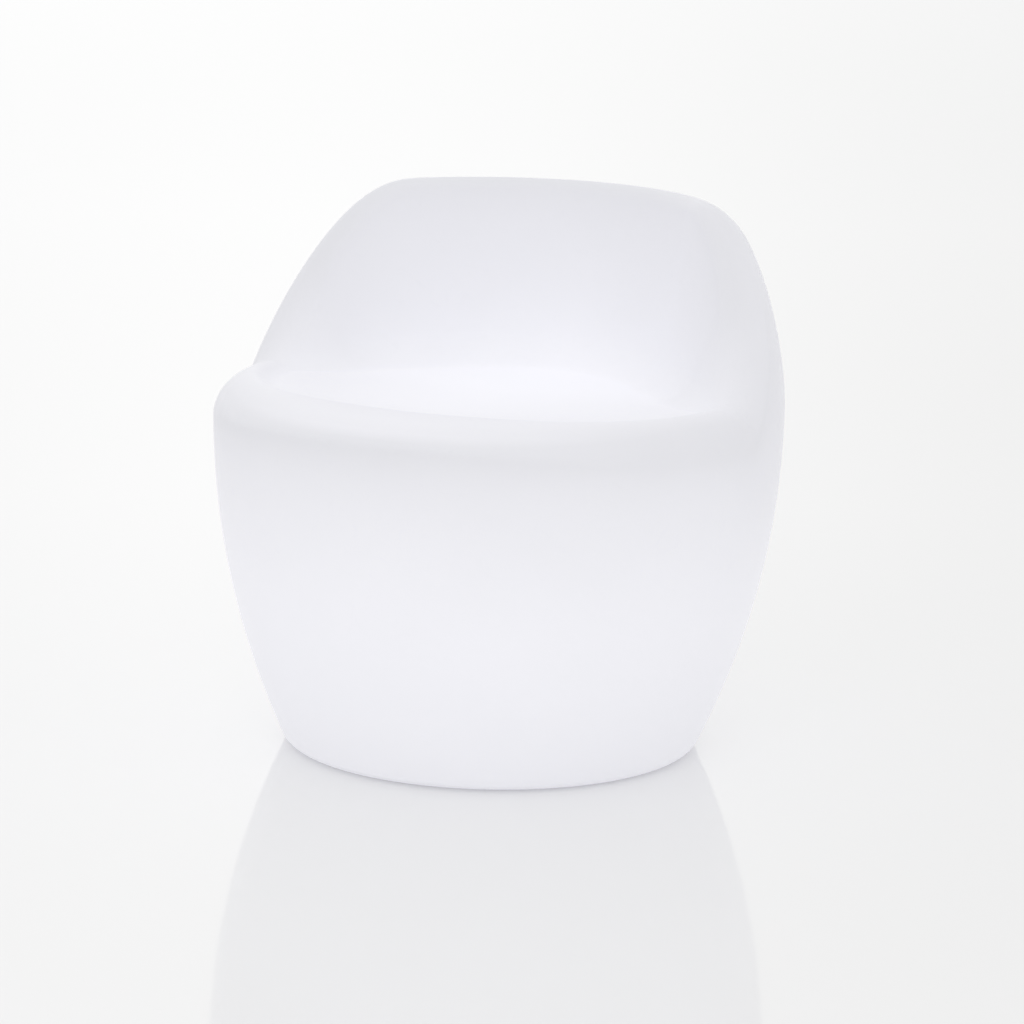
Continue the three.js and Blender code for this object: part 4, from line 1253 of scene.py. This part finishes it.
@dataclass(frozen=True)
class Shell:
    """The moulded body: a double wall round a hollow, with bosses and sockets in its base."""

    form: ShellForm
    directions: int = 240
    boss_radius: float = 0.009
    insert_boss_radius: float = 0.0075
    insert_hole_radius: float = 0.0033
    insert_hole_depth: float = 0.010
    boss_cover: float = 0.0035
    cup_gap: float = 0.0003
    screw_hole_radius: float = 0.0022
    merge_gap: float = 0.001
    overrun: float = 0.001

    def build(self, finishes: Finishes) -> None:
        """Builds and dresses the shell.

        Args:
            finishes: Where its material comes from.
        """
        piece = make_piece("moulded_body", self.surface())
        wall = piece.modifiers.new("wall", "SOLIDIFY")
        wall.thickness = self.form.wall
        wall.offset = -1.0
        settle(piece)
        self.add_bosses(piece)
        self.cut_sockets(piece)
        smooth_faces(piece)
        # Paints the shell's painted glow, with its painted shade and painted light, into an attribute.
        Glow(self.form).paint(piece)
        finishes.dress(piece, Slot.SHELL)
        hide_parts("shell")
        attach(piece, Body.STOOL.value)
        log.info("moulded_body replaces shell")

    def surface(self) -> bmesh.types.BMesh:
        """Makes the outside: a spun disc of rings one apart, whose points are moved onto the form.

        Returns:
            The open mesh.
        """
        rows = sum(part.rows for part in self.form.section(0.0))
        bm = bmesh.new()
        points = [bm.verts.new((rows - row, 0.0, 0.0)) for row in range(rows + 1)]
        lines = [bm.edges.new(pair) for pair in zip(points, points[1:])]
        bmesh.ops.spin(bm, geom=points + lines, cent=(0, 0, 0), axis=(0, 0, 1), angle=TURN,
                       steps=self.directions, use_merge=True)
        bmesh.ops.remove_doubles(bm, verts=bm.verts, dist=self.merge_gap)
        columns: dict[int, list[Vector]] = {}
        for vert in bm.verts:
            x, y, _ = vert.co
            step = round(math.atan2(x, -y) / TURN * self.directions)
            if step not in columns:
                columns[step] = self.form.column(step * TURN / self.directions)
            vert.co = columns[step][rows - round(math.hypot(x, y))]
        bmesh.ops.recalc_face_normals(bm, faces=bm.faces)
        lowest = min(bm.faces, key=lambda face: face.calc_center_median().z)
        if lowest.normal.z > 0:
            bmesh.ops.reverse_faces(bm, faces=bm.faces)
        return bm

    def add_bosses(self, piece: bpy.types.Object) -> None:
        """Joins the bosses inside the base.

        Args:
            piece: The shell.
        """
        feet = places_of("foot_pad_{}", FEET)
        inserts = places_of("flange_insert_{}", FLANGE_SCREWS)
        half_wall = self.form.wall / 2
        pad_low, pad_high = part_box("foot_pad_1")
        cup = (pad_high.x - pad_low.x) / 2 + self.cup_gap + self.form.wall
        cup_start = self.form.base_height + half_wall
        work(piece, posts(feet, cup, cup_start, pad_high.z + self.form.wall), Work.JOIN)
        boss_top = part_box("foot_screw_1")[1].z + self.boss_cover
        work(piece, posts(feet, self.boss_radius, pad_high.z + half_wall, boss_top), Work.JOIN)
        roof = self.form.base_height + self.form.well_depth
        insert_top = roof + self.insert_hole_depth + self.boss_cover
        work(piece, posts(inserts, self.insert_boss_radius, roof + half_wall, insert_top), Work.JOIN)

    def cut_sockets(self, piece: bpy.types.Object) -> None:
        """Cuts the foot sockets and the holes for screws and inserts.

        Args:
            piece: The shell with its bosses.
        """
        feet = places_of("foot_pad_{}", FEET)
        inserts = places_of("flange_insert_{}", FLANGE_SCREWS)
        below = self.form.base_height - self.overrun
        pad_low, pad_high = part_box("foot_pad_1")
        cup = (pad_high.x - pad_low.x) / 2 + self.cup_gap
        work(piece, posts(feet, cup, below, pad_high.z + self.cup_gap), Work.CUT)
        hole_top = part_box("foot_screw_1")[1].z + self.overrun
        work(piece, posts(feet, self.screw_hole_radius, below, hole_top), Work.CUT)
        roof = self.form.base_height + self.form.well_depth
        insert_top = roof + self.insert_hole_depth
        work(piece, posts(inserts, self.insert_hole_radius, roof - self.overrun, insert_top), Work.CUT)


@dataclass(frozen=True)
class Screw:
    """A pan-head screw with a hex socket, built once for each size and copied to its places."""

    head_radius: float
    head_height: float
    shank_radius: float
    length: float
    socket_radius: float
    socket_depth: float
    thread_pitch: float = 0.0008
    thread_depth: float = 0.00025
    steps: int = 40
    top_share: float = 0.7
    edge_share: float = 0.45
    socket_sides: int = 6

    def pattern(self) -> bpy.types.Object:
        """Makes the screw with its head's seat at zero and its shank pointing down.

        Returns:
            The screw, to be copied and then removed.
        """
        tip = self.shank_radius / 2
        outline = [(0.0, -self.length), (self.shank_radius - tip, -self.length)]
        turns = int((self.length - tip) / self.thread_pitch)
        for turn in range(turns):
            low = -self.length + tip + turn * self.thread_pitch
            outline.append((self.shank_radius - self.thread_depth, low))
            outline.append((self.shank_radius, low + self.thread_pitch / 2))
        outline += [
            (self.shank_radius, 0.0),
            (self.head_radius, 0.0),
            (self.head_radius, self.head_height * self.edge_share),
            (self.head_radius * self.top_share, self.head_height),
            (0.0, self.head_height),
        ]
        screw = make_piece("screw", turned(outline, steps=self.steps))
        socket = posts([(0.0, 0.0)], self.socket_radius, self.head_height - self.socket_depth,
                       self.head_height * 2, self.socket_sides)
        work(screw, socket, Work.CUT)
        return screw

    def copies(self, names: list[tuple[str, str]], finishes: Finishes) -> None:
        """Puts a copy with its head down at each CAD screw and replaces it.

        Args:
            names: The new piece's name and the CAD node's name, for each screw.
            finishes: Where the material comes from.
        """
        pattern = self.pattern()
        for name, node in names:
            low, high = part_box(node)
            middle = (low + high) / 2
            turn = Matrix.Rotation(math.pi, 4, "X")
            place = Matrix.Translation((middle.x, middle.y, low.z + self.head_height))
            bm = bmesh.new()
            bm.from_mesh(pattern.data)
            bmesh.ops.transform(bm, verts=bm.verts, matrix=place @ turn)
            piece = make_piece(name, bm)
            smooth_faces(piece)
            finishes.dress(piece, Slot.STEEL)
            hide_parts(node)
            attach(piece, Body.STOOL.value)
            log.info("%s replaces %s", name, node)
        bpy.data.objects.remove(pattern)


@dataclass(frozen=True)
class FootPads:
    """Round rubber feet with a screw recess and grip grooves underneath."""

    recess_radius: float = 0.0052
    recess_depth: float = 0.0032
    hole_radius: float = 0.0022
    rim_edge: float = 0.001
    groove_radii: tuple[float, ...] = (0.0076, 0.0104)
    groove_width: float = 0.0008
    groove_slant: float = 0.0002
    groove_depth: float = 0.0006
    bevel: float = 0.00015
    edge_steps: int = 4
    steps: int = 72

    def build(self, finishes: Finishes) -> None:
        """Builds and dresses the pads and their screws.

        Args:
            finishes: Where the materials come from.
        """
        for index in range(1, FEET + 1):
            node = f"foot_pad_{index}"
            low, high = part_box(node)
            middle = (low + high) / 2
            outline = self.outline((high.x - low.x) / 2, low.z, high.z)
            solid = turned(outline, (middle.x, middle.y), self.steps, self.bevel)
            piece = make_piece(f"rubber_foot_{index}", solid)
            smooth_faces(piece)
            finishes.dress(piece, Slot.RUBBER)
            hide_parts(node)
            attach(piece, Body.STOOL.value)
            log.info("%s replaces %s", piece.name, node)
        names = [(f"foot_bolt_{i}", f"foot_screw_{i}") for i in range(1, FEET + 1)]
        body_screw().copies(names, finishes)

    def outline(self, radius: float, bottom: float, top: float) -> Outline:
        """The pad's half section, from the recess outwards and back over the top.

        Args:
            radius: The pad's radius.
            bottom: Its underside's height.
            top: Its top's height.

        Returns:
            Radius and height of each point.
        """
        points = [(self.recess_radius, bottom)]
        for groove in self.groove_radii:
            end = groove + self.groove_width
            deep = bottom + self.groove_depth
            points += [(groove, bottom), (groove + self.groove_slant, deep),
                       (end - self.groove_slant, deep), (end, bottom)]
        points += round_corner(radius, bottom, self.rim_edge, self.edge_steps)
        points += [(radius, top), (self.hole_radius, top), (self.hole_radius, bottom + self.recess_depth),
                   (self.recess_radius, bottom + self.recess_depth)]
        return points


def body_screw() -> Screw:
    """The screw that holds the feet and the light module."""
    return Screw(head_radius=0.004, head_height=0.0024, shank_radius=0.002, length=0.013,
                 socket_radius=0.0015, socket_depth=0.0013)


@dataclass(frozen=True)
class LightModule:
    """The housing that closes the base: flange, tub, bosses, screw recesses and guides."""

    flange_thickness: float = 0.004
    flange_edge: float = 0.0015
    tub_radius: float = 0.066
    tub_wall: float = 0.003
    grip_inner: float = 0.070
    grip_outer: float = 0.074
    grip_height: float = 0.0016
    screw_recess: float = 0.0014
    recess_radius: float = 0.0042
    screw_hole: float = 0.0022
    guide_gap: float = 0.0003
    guide_wall: float = 0.0024
    guide_depth: float = 0.009
    stem_hole: float = 0.0033
    seat_gap: float = 0.00025
    boss_radius: float = 0.004
    small_hole: float = 0.0016
    small_screw_length: float = 0.008
    anchor_hole: float = 0.00225
    overrun: float = 0.001
    edge_steps: int = 5
    guide_sides: int = 72
    steps: int = 144

    def build(self, finishes: Finishes) -> None:
        """Builds and dresses the housing and its screws.

        Args:
            finishes: Where the materials come from.
        """
        low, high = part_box("module_base")
        middle = (low + high) / 2
        bottom = low.z + self.grip_height
        outline = self.outline((high.x - low.x) / 2, bottom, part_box("light_carrier")[1].z)
        piece = make_piece("module_housing", turned(outline, (middle.x, middle.y), self.steps))
        self.add_bosses(piece, bottom)
        self.cut_holes(piece, bottom)
        smooth_faces(piece)
        finishes.dress(piece, Slot.HOUSING)
        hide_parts("module_base")
        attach(piece, Body.STOOL.value)
        log.info("module_housing replaces module_base")
        names = [(f"housing_screw_{i}", f"flange_screw_{i}") for i in range(1, FLANGE_SCREWS + 1)]
        body_screw().copies(names, finishes)

    def outline(self, radius: float, bottom: float, tub_top: float) -> Outline:
        """The half section of flange and tub, from the middle outwards and back.

        Args:
            radius: The flange's radius.
            bottom: Its underside's height.
            tub_top: The top of the tub's wall.

        Returns:
            Radius and height of each point.
        """
        top = bottom + self.flange_thickness
        slant = self.grip_height / 2
        ring = bottom - self.grip_height
        points = [(0.0, bottom), (self.grip_inner, bottom), (self.grip_inner + slant, ring),
                  (self.grip_outer - slant, ring), (self.grip_outer, bottom)]
        points += round_corner(radius, bottom, self.flange_edge, self.edge_steps)
        inside = self.tub_radius - self.tub_wall
        points += [(radius, top), (self.tub_radius, top), (self.tub_radius, tub_top), (inside, tub_top),
                   (inside, top), (0.0, top)]
        return points

    def add_bosses(self, piece: bpy.types.Object, bottom: float) -> None:
        """Joins the bosses in the tub and the button's guide.

        Args:
            piece: The housing.
            bottom: The flange's underside.
        """
        start = bottom + self.flange_thickness / 2
        tops = {
            "dome_screw_{}": (DOME_SCREWS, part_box("light_carrier")[0].z),
            "board_screw_{}": (BOARD_SCREWS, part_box("control_board")[0].z),
            "strap_screw_{}": (STRAP_SCREWS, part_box("cell_strap")[0].z),
        }
        for pattern, (count, top) in tops.items():
            bosses = posts(places_of(pattern, count), self.boss_radius, start, top - self.seat_gap)
            work(piece, bosses, Work.JOIN)
        button_low, button_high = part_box("power_button")
        radius = (button_high.x - button_low.x) / 2 + self.guide_gap + self.guide_wall
        place = [tuple(middle_of("power_button").xy)]
        work(piece, posts(place, radius, start, bottom + self.guide_depth + self.guide_wall), Work.JOIN)
        for pattern, (count, top) in tops.items():
            holes = posts(places_of(pattern, count), self.small_hole, top - self.small_screw_length, top)
            work(piece, holes, Work.CUT)

    def cut_holes(self, piece: bpy.types.Object, bottom: float) -> None:
        """Cuts the screw recesses, the button's guide and the openings of the charging socket.

        Args:
            piece: The housing with its bosses.
            bottom: The flange's underside.
        """
        below = bottom - self.grip_height - self.overrun
        above = bottom + self.flange_thickness + self.overrun
        screws = places_of("flange_screw_{}", FLANGE_SCREWS)
        work(piece, posts(screws, self.screw_hole, below, above), Work.CUT)
        work(piece, posts(screws, self.recess_radius, below, bottom + self.screw_recess), Work.CUT)
        button = [tuple(middle_of("power_button").xy)]
        low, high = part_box("power_button")
        guide_radius = (high.x - low.x) / 2 + self.guide_gap
        guide_top = bottom + self.guide_depth
        stem_top = guide_top + self.guide_wall + self.overrun
        work(piece, posts(button, guide_radius, below, guide_top, self.guide_sides), Work.CUT)
        work(piece, posts(button, self.stem_hole, below, stem_top), Work.CUT)
        nut_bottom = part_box("socket_nut")[0].z
        socket = [tuple(middle_of("charge_socket").xy)]
        barrel = ChargingJack().barrel_radius + self.seat_gap
        work(piece, posts(socket, barrel, below, nut_bottom), Work.CUT)
        anchor = [tuple(middle_of("cap_anchor").xy)]
        work(piece, posts(anchor, self.anchor_hole, below, above), Work.CUT)


@dataclass(frozen=True)
class PowerButton:
    """The dished push button with its raised on-and-off sign, stem and return spring."""

    dish: float = 0.0007
    dish_power: int = 3
    dish_steps: int = 8
    cap_height: float = 0.0036
    edge: float = 0.0009
    edge_steps: int = 4
    bevel: float = 0.0001
    stem_radius: float = 0.003
    collar_radius: float = 0.0042
    collar_height: float = 0.0012
    collar_bottom: float = 0.0124
    sign_radius: float = 0.0029
    sign_width: float = 0.0005
    sign_height: float = 0.00022
    sign_bevel: float = 0.000055
    sign_steps: int = 48
    sign_gap: float = math.radians(64)
    bar_length: float = 0.0026
    steps: int = 96

    def build(self, finishes: Finishes) -> None:
        """Builds and dresses the button, its sign and its spring.

        Args:
            finishes: Where the materials come from.
        """
        low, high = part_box("power_button")
        middle = (low + high) / 2
        outline = self.outline((high.x - low.x) / 2, low.z, high.z)
        cap = make_piece("button_cap", turned(outline, (middle.x, middle.y), self.steps, self.bevel))
        smooth_faces(cap)
        finishes.dress(cap, Slot.HOUSING)
        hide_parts("power_button")
        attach(cap, Body.BUTTON.value)
        sign = make_piece("button_sign", self.sign(middle.x, middle.y, low.z + self.dish))
        smooth_faces(sign)
        finishes.dress(sign, Slot.BLACK_PLASTIC)
        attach(sign, Body.BUTTON.value)
        log.info("button_cap replaces power_button, and button_sign is raised in it")
        ReturnSpring().build(finishes)

    def outline(self, radius: float, bottom: float, top: float) -> Outline:
        """The button's half section, from the dish's middle outwards and up the stem.

        Args:
            radius: The button's radius.
            bottom: Its lowest height, round the dish.
            top: The stem's end.

        Returns:
            Radius and height of each point.
        """
        dish_radius = radius - 2 * self.edge
        shares = [step / self.dish_steps for step in range(self.dish_steps + 1)]
        points = [(dish_radius * share, bottom + self.dish * (1 - share ** self.dish_power))
                  for share in shares]
        points += round_corner(radius, bottom, self.edge, self.edge_steps)
        collar = bottom + self.collar_bottom
        points += [(radius, bottom + self.cap_height), (self.stem_radius, bottom + self.cap_height),
                   (self.stem_radius, collar), (self.collar_radius, collar),
                   (self.stem_radius, collar + self.collar_height), (self.stem_radius, top), (0.0, top)]
        return points

    def sign(self, x: float, y: float, height: float) -> bmesh.types.BMesh:
        """A broken ring and a bar, raised in the dish.

        Args:
            x: The sign's middle.
            y: The sign's middle.
            height: The dish's floor.

        Returns:
            The mesh.
        """
        bm = bmesh.new()
        half = self.sign_width / 2
        bottom = height - self.sign_height
        corners = [(self.sign_radius - half, bottom), (self.sign_radius + half, bottom),
                   (self.sign_radius + half, height + half), (self.sign_radius - half, height + half)]
        points = [bm.verts.new((0.0, radius, z)) for radius, z in corners]
        face = bm.faces.new(points)
        half_gap = Matrix.Rotation(self.sign_gap / 2, 3, "Z")
        bmesh.ops.rotate(bm, verts=points, cent=(0, 0, 0), matrix=half_gap)
        bmesh.ops.spin(bm, geom=[face], cent=(0, 0, 0), axis=(0, 0, 1), angle=TURN - self.sign_gap,
                       steps=self.sign_steps)
        bar = Matrix.Translation((0, self.sign_radius, (bottom + height + half) / 2))
        size = Matrix.Diagonal((self.sign_width, self.bar_length, height + half - bottom, 1.0))
        bmesh.ops.create_cube(bm, size=1.0, matrix=bar @ size)
        bmesh.ops.remove_doubles(bm, verts=bm.verts, dist=SAME_POINT)
        bmesh.ops.recalc_face_normals(bm, faces=bm.faces)
        bevel_edges(bm, self.sign_bevel, 1)
        bmesh.ops.translate(bm, verts=bm.verts, vec=(x, y, 0))
        return bm


@dataclass(frozen=True)
class ReturnSpring:
    """The wire spring between the button's cap and the housing."""

    wire_radius: float = 0.0004
    turns: int = 4
    steps_per_turn: int = 24
    wire_sides: int = 10
    keep: float = 0.78

    def build(self, finishes: Finishes) -> None:
        """Builds and dresses the spring and sets it on the stool's body.

        Args:
            finishes: Where its material comes from.
        """
        low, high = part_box("button_spring")
        middle = (low + high) / 2
        radius = (high.x - low.x) / 2 - self.wire_radius
        start, end = low.z + self.wire_radius, high.z - self.wire_radius
        steps = self.turns * self.steps_per_turn
        bm = bmesh.new()
        wire_start = Matrix.Translation((middle.x + radius, middle.y, start))
        upright = wire_start @ Matrix.Rotation(QUARTER, 4, "X")
        ring = bmesh.ops.create_circle(bm, cap_ends=True, segments=self.wire_sides, radius=self.wire_radius,
                                       matrix=upright)["verts"]
        face = ring[0].link_faces[0]
        bmesh.ops.spin(bm, geom=[face], cent=(middle.x, middle.y, start), axis=(0, 0, 1),
                       dvec=(0, 0, (end - start) / steps), angle=TURN * self.turns, steps=steps)
        bmesh.ops.recalc_face_normals(bm, faces=bm.faces)
        piece = make_piece("return_spring", bm)
        smooth_faces(piece)
        finishes.dress(piece, Slot.STEEL)
        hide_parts("button_spring")
        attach(piece, Body.STOOL.value)
        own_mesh(piece)
        log.info("return_spring replaces button_spring")


@dataclass(frozen=True)
class ChargingJack:
    """The charging socket with its bore and centre pin."""

    flange_thickness: float = 0.0014
    barrel_radius: float = 0.0054
    bore_radius: float = 0.0032
    bore_depth: float = 0.0092
    bevel: float = 0.0001
    pin_radius: float = 0.0009
    pin_tip_radius: float = 0.00054
    pin_tip_length: float = 0.00036
    pin_steps: int = 32
    mouth: float = 0.0004
    steps: int = 64

    def build(self, finishes: Finishes) -> None:
        """Builds and dresses the socket and its pin.

        Args:
            finishes: Where the materials come from.
        """
        low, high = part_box("charge_socket")
        middle = (low + high) / 2
        radius = (high.x - low.x) / 2
        flange_top = low.z + self.flange_thickness
        bore_top = low.z + self.bore_depth
        outline = [
            (0.0, bore_top), (self.bore_radius, bore_top), (self.bore_radius, low.z + self.mouth),
            (self.bore_radius + self.mouth, low.z), (radius, low.z), (radius, flange_top),
            (self.barrel_radius, flange_top), (self.barrel_radius, high.z), (0.0, high.z),
        ]
        jack = make_piece("charging_jack", turned(outline, (middle.x, middle.y), self.steps, self.bevel))
        pin_outline = [(0.0, flange_top), (self.pin_tip_radius, flange_top),
                       (self.pin_radius, flange_top + self.pin_tip_length), (self.pin_radius, bore_top),
                       (0.0, bore_top)]
        pin = make_piece("charging_pin", turned(pin_outline, (middle.x, middle.y), self.pin_steps))
        for piece, slot in ((jack, Slot.BLACK_PLASTIC), (pin, Slot.BRASS)):
            smooth_faces(piece)
            finishes.dress(piece, slot)
            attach(piece, Body.STOOL.value)
        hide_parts("charge_socket")
        log.info("charging_jack replaces charge_socket, and charging_pin stands in its bore")


@dataclass(frozen=True)
class SealingCap:
    """The rubber cap on the charging socket, with its strap, finger tab and holder."""

    lid_radius: float = 0.0084
    plug_radius: float = 0.0028
    thickness: float = 0.002
    strap_width: float = 0.008
    tab_width: float = 0.004
    tab_thickness: float = 0.001
    edge: float = 0.0004
    steps: int = 72
    stem_radius: float = 0.002
    barb_radius: float = 0.0028
    barb_tip_radius: float = 0.001
    barb_height: float = 0.0016
    overlap: float = 0.0008

    def build(self, finishes: Finishes) -> None:
        """Builds and dresses the cap and its holder.

        Args:
            finishes: Where the material comes from.
        """
        cap = self.cap()
        holder = self.holder()
        for piece, node, body in ((cap, "socket_cap", Body.CAP), (holder, "cap_anchor", Body.STOOL)):
            smooth_faces(piece)
            finishes.dress(piece, Slot.SILICONE)
            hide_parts(node)
            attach(piece, body.value)
            log.info("%s replaces %s", piece.name, node)

    def cap(self) -> bpy.types.Object:
        """Makes lid, plug, strap and tab as one rubber piece.

        Returns:
            The cap.
        """
        low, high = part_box("socket_cap")
        place = tuple(middle_of("charge_socket").xy)
        x, y = place
        top = low.z + self.thickness
        outline = [(0.0, low.z), (self.lid_radius, low.z), (self.lid_radius, top), (self.plug_radius, top),
                   (self.plug_radius, high.z), (0.0, high.z)]
        cap = make_piece("sealing_cap", turned(outline, place, self.steps, self.edge))
        half = self.strap_width / 2
        strap = block((low.x, y - half, low.z), (x, y + half, top), self.edge)
        work(cap, make_piece("strap", strap), Work.JOIN)
        half = self.tab_width / 2
        tab = block((x, y - half, low.z), (high.x, y + half, low.z + self.tab_thickness), self.edge)
        work(cap, make_piece("tab", tab), Work.JOIN)
        return cap

    def holder(self) -> bpy.types.Object:
        """Makes the block that holds the strap, with its barbed stem through the flange.

        Returns:
            The holder.
        """
        low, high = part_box("cap_anchor")
        middle = (low + high) / 2
        barb_bottom = high.z - self.barb_height
        housing = LightModule()
        flange_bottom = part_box("module_base")[0].z + housing.grip_height
        body_top = flange_bottom - housing.seat_gap
        holder = make_piece("cap_holder", block(tuple(low), (high.x, high.y, body_top), self.edge))
        stem = turned([
            (0.0, body_top - self.overlap), (self.stem_radius, body_top - self.overlap),
            (self.stem_radius, barb_bottom), (self.barb_radius, barb_bottom),
            (self.barb_tip_radius, high.z), (0.0, high.z),
        ], (middle.x, middle.y), self.steps)
        work(holder, make_piece("stem", stem), Work.JOIN)
        return holder


@dataclass(frozen=True)
class FloorFinish:
    """Polished pale floor that mirrors the stool softly, and is clear when seen from below."""

    name: str = "polished_floor"
    colour: Colour = (0.90, 0.90, 0.90, 1.0)
    roughness: float = 0.06
    refraction: float = 2.0

    def material(self) -> bpy.types.Material:
        """Builds the material.

        Returns:
            The finished material.
        """
        surface = Surface(self.name)
        surface.set(Base_Color=self.colour, Roughness=self.roughness, IOR=self.refraction)
        from_below = surface.add("ShaderNodeNewGeometry").outputs["Backfacing"]
        surface.set(Alpha=surface.maths("SUBTRACT", 1.0, from_below))
        return surface.material


@dataclass(frozen=True)
class Softbox:
    """A large square light that faces the stool."""

    name: str
    azimuth: float
    elevation: float
    distance: float
    size: float
    power: float

    def build(self, target: Vector) -> None:
        """Puts the light into the scene. Nothing mirrors it.

        Args:
            target: The place that it is aimed at.
        """
        light = bpy.data.lights.new(self.name, "AREA")
        light.shape = "SQUARE"
        light.size = self.size
        light.energy = self.power
        lamp = bpy.data.objects.new(self.name, light)
        lamp.visible_glossy = False
        bpy.context.scene.collection.objects.link(lamp)
        away = pointing(self.azimuth, self.elevation)
        lamp.rotation_mode = "QUATERNION"
        lamp.rotation_quaternion = away.to_track_quat("Z", "Y")
        lamp.location = target + away * self.distance


@dataclass(frozen=True)
class BrightPatch:
    """A part of the white surround that is brighter than the rest, fading outwards."""

    azimuth: float
    elevation: float
    focus: float
    strength: float

    def light(self, graph: Graph) -> bpy.types.NodeSocket:
        """Adds the nodes that work out the patch's light.

        Args:
            graph: The surround's node tree.

        Returns:
            The light that the patch adds in each direction.
        """
        facing = graph.add("ShaderNodeVectorMath", operation="DOT_PRODUCT")
        graph.feed(facing.inputs[0], graph.add("ShaderNodeTexCoord").outputs["Generated"])
        graph.feed(facing.inputs[1], pointing(self.azimuth, self.elevation))
        toward = graph.maths("MAXIMUM", facing.outputs["Value"], 0.0)
        return graph.maths("MULTIPLY", graph.maths("POWER", toward, self.focus), self.strength)


@dataclass(frozen=True)
class Studio:
    """Floor, soft light and the camera at the photographed angle."""

    form: ShellForm
    floor_size: float = 80.0
    camera_azimuth: float = 0.45014
    camera_elevation: float = 0.2044
    camera_roll: float = 0.0213
    camera_distance: float = 4.2286
    aim_across: float = 0.01805
    aim_height: float = 0.23928
    lens_pixels: float = 4143.8
    image_pixels: float = 1024.0
    sensor: float = 36.0
    sky: float = 0.85
    wide_patch: BrightPatch = BrightPatch(azimuth=math.radians(-135), elevation=math.radians(10),
                                          focus=7.0, strength=0.28)
    near_patch: BrightPatch = BrightPatch(azimuth=math.radians(-152.5), elevation=math.radians(12),
                                          focus=180.0, strength=0.2)
    softbox: Softbox = Softbox("front_softbox", azimuth=math.radians(18), elevation=math.radians(30),
                               distance=4.5, size=2.6, power=18.0)

    def build(self) -> None:
        """Sets up the whole studio."""
        self.floor()
        self.world()
        self.softbox.build(Vector((0.0, self.form.axis_y, self.aim_height)))
        self.camera()
        bpy.context.scene.view_settings.view_transform = "Standard"

    def floor(self) -> None:
        """The floor under the stool."""
        bm = bmesh.new()
        bmesh.ops.create_grid(bm, x_segments=1, y_segments=1, size=self.floor_size / 2)
        floor = make_piece("studio_floor", bm)
        floor.data.materials.append(FloorFinish().material())

    def world(self) -> None:
        """A white surround that is brighter behind the stool."""
        world = bpy.data.worlds.new("studio_light")
        world.use_nodes = True
        world.node_tree.nodes.clear()
        graph = Graph(world.node_tree)
        patches = graph.maths("ADD", self.wide_patch.light(graph), self.near_patch.light(graph))
        strength = graph.maths("ADD", patches, self.sky)
        light = graph.add("ShaderNodeBackground", {"Color": WHITE, "Strength": strength})
        graph.add("ShaderNodeOutputWorld", {"Surface": light.outputs["Background"]})
        bpy.context.scene.world = world

    def camera(self) -> None:
        """The camera, turned about its own line of sight by the photograph's slight tilt."""
        camera = bpy.data.cameras.new("photo_camera")
        camera.sensor_width = self.sensor
        camera.lens = self.sensor * self.lens_pixels / self.image_pixels
        camera.clip_end = self.floor_size * 2
        holder = bpy.data.objects.new("photo_camera", camera)
        bpy.context.scene.collection.objects.link(holder)
        roll = self.camera_roll
        back = pointing(self.camera_azimuth, self.camera_elevation)
        right = Vector((math.cos(self.camera_azimuth), math.sin(self.camera_azimuth), 0.0))
        up = back.cross(right)
        tilted_right = right * math.cos(roll) + up * math.sin(roll)
        tilted_up = up * math.cos(roll) - right * math.sin(roll)
        aim = Vector((0.0, self.form.axis_y, self.aim_height)) + right * self.aim_across
        turn = Matrix((tilted_right, tilted_up, back)).transposed().to_4x4()
        holder.matrix_world = Matrix.Translation(aim + back * self.camera_distance) @ turn
        bpy.context.scene.camera = holder


def main() -> None:
    """Builds the stool's pieces in order, dresses them and sets up the studio."""
    logging.basicConfig(level=logging.INFO, format="%(name)s: %(message)s")
    finishes = Finishes()
    finishes.dress_nodes()
    form = ShellForm(axis_y=middle_of("module_base").y)
    Shell(form).build(finishes)
    FootPads().build(finishes)
    LightModule().build(finishes)
    PowerButton().build(finishes)
    ChargingJack().build(finishes)
    SealingCap().build(finishes)
    Studio(form).build()


if __name__ == "__main__":
    main()
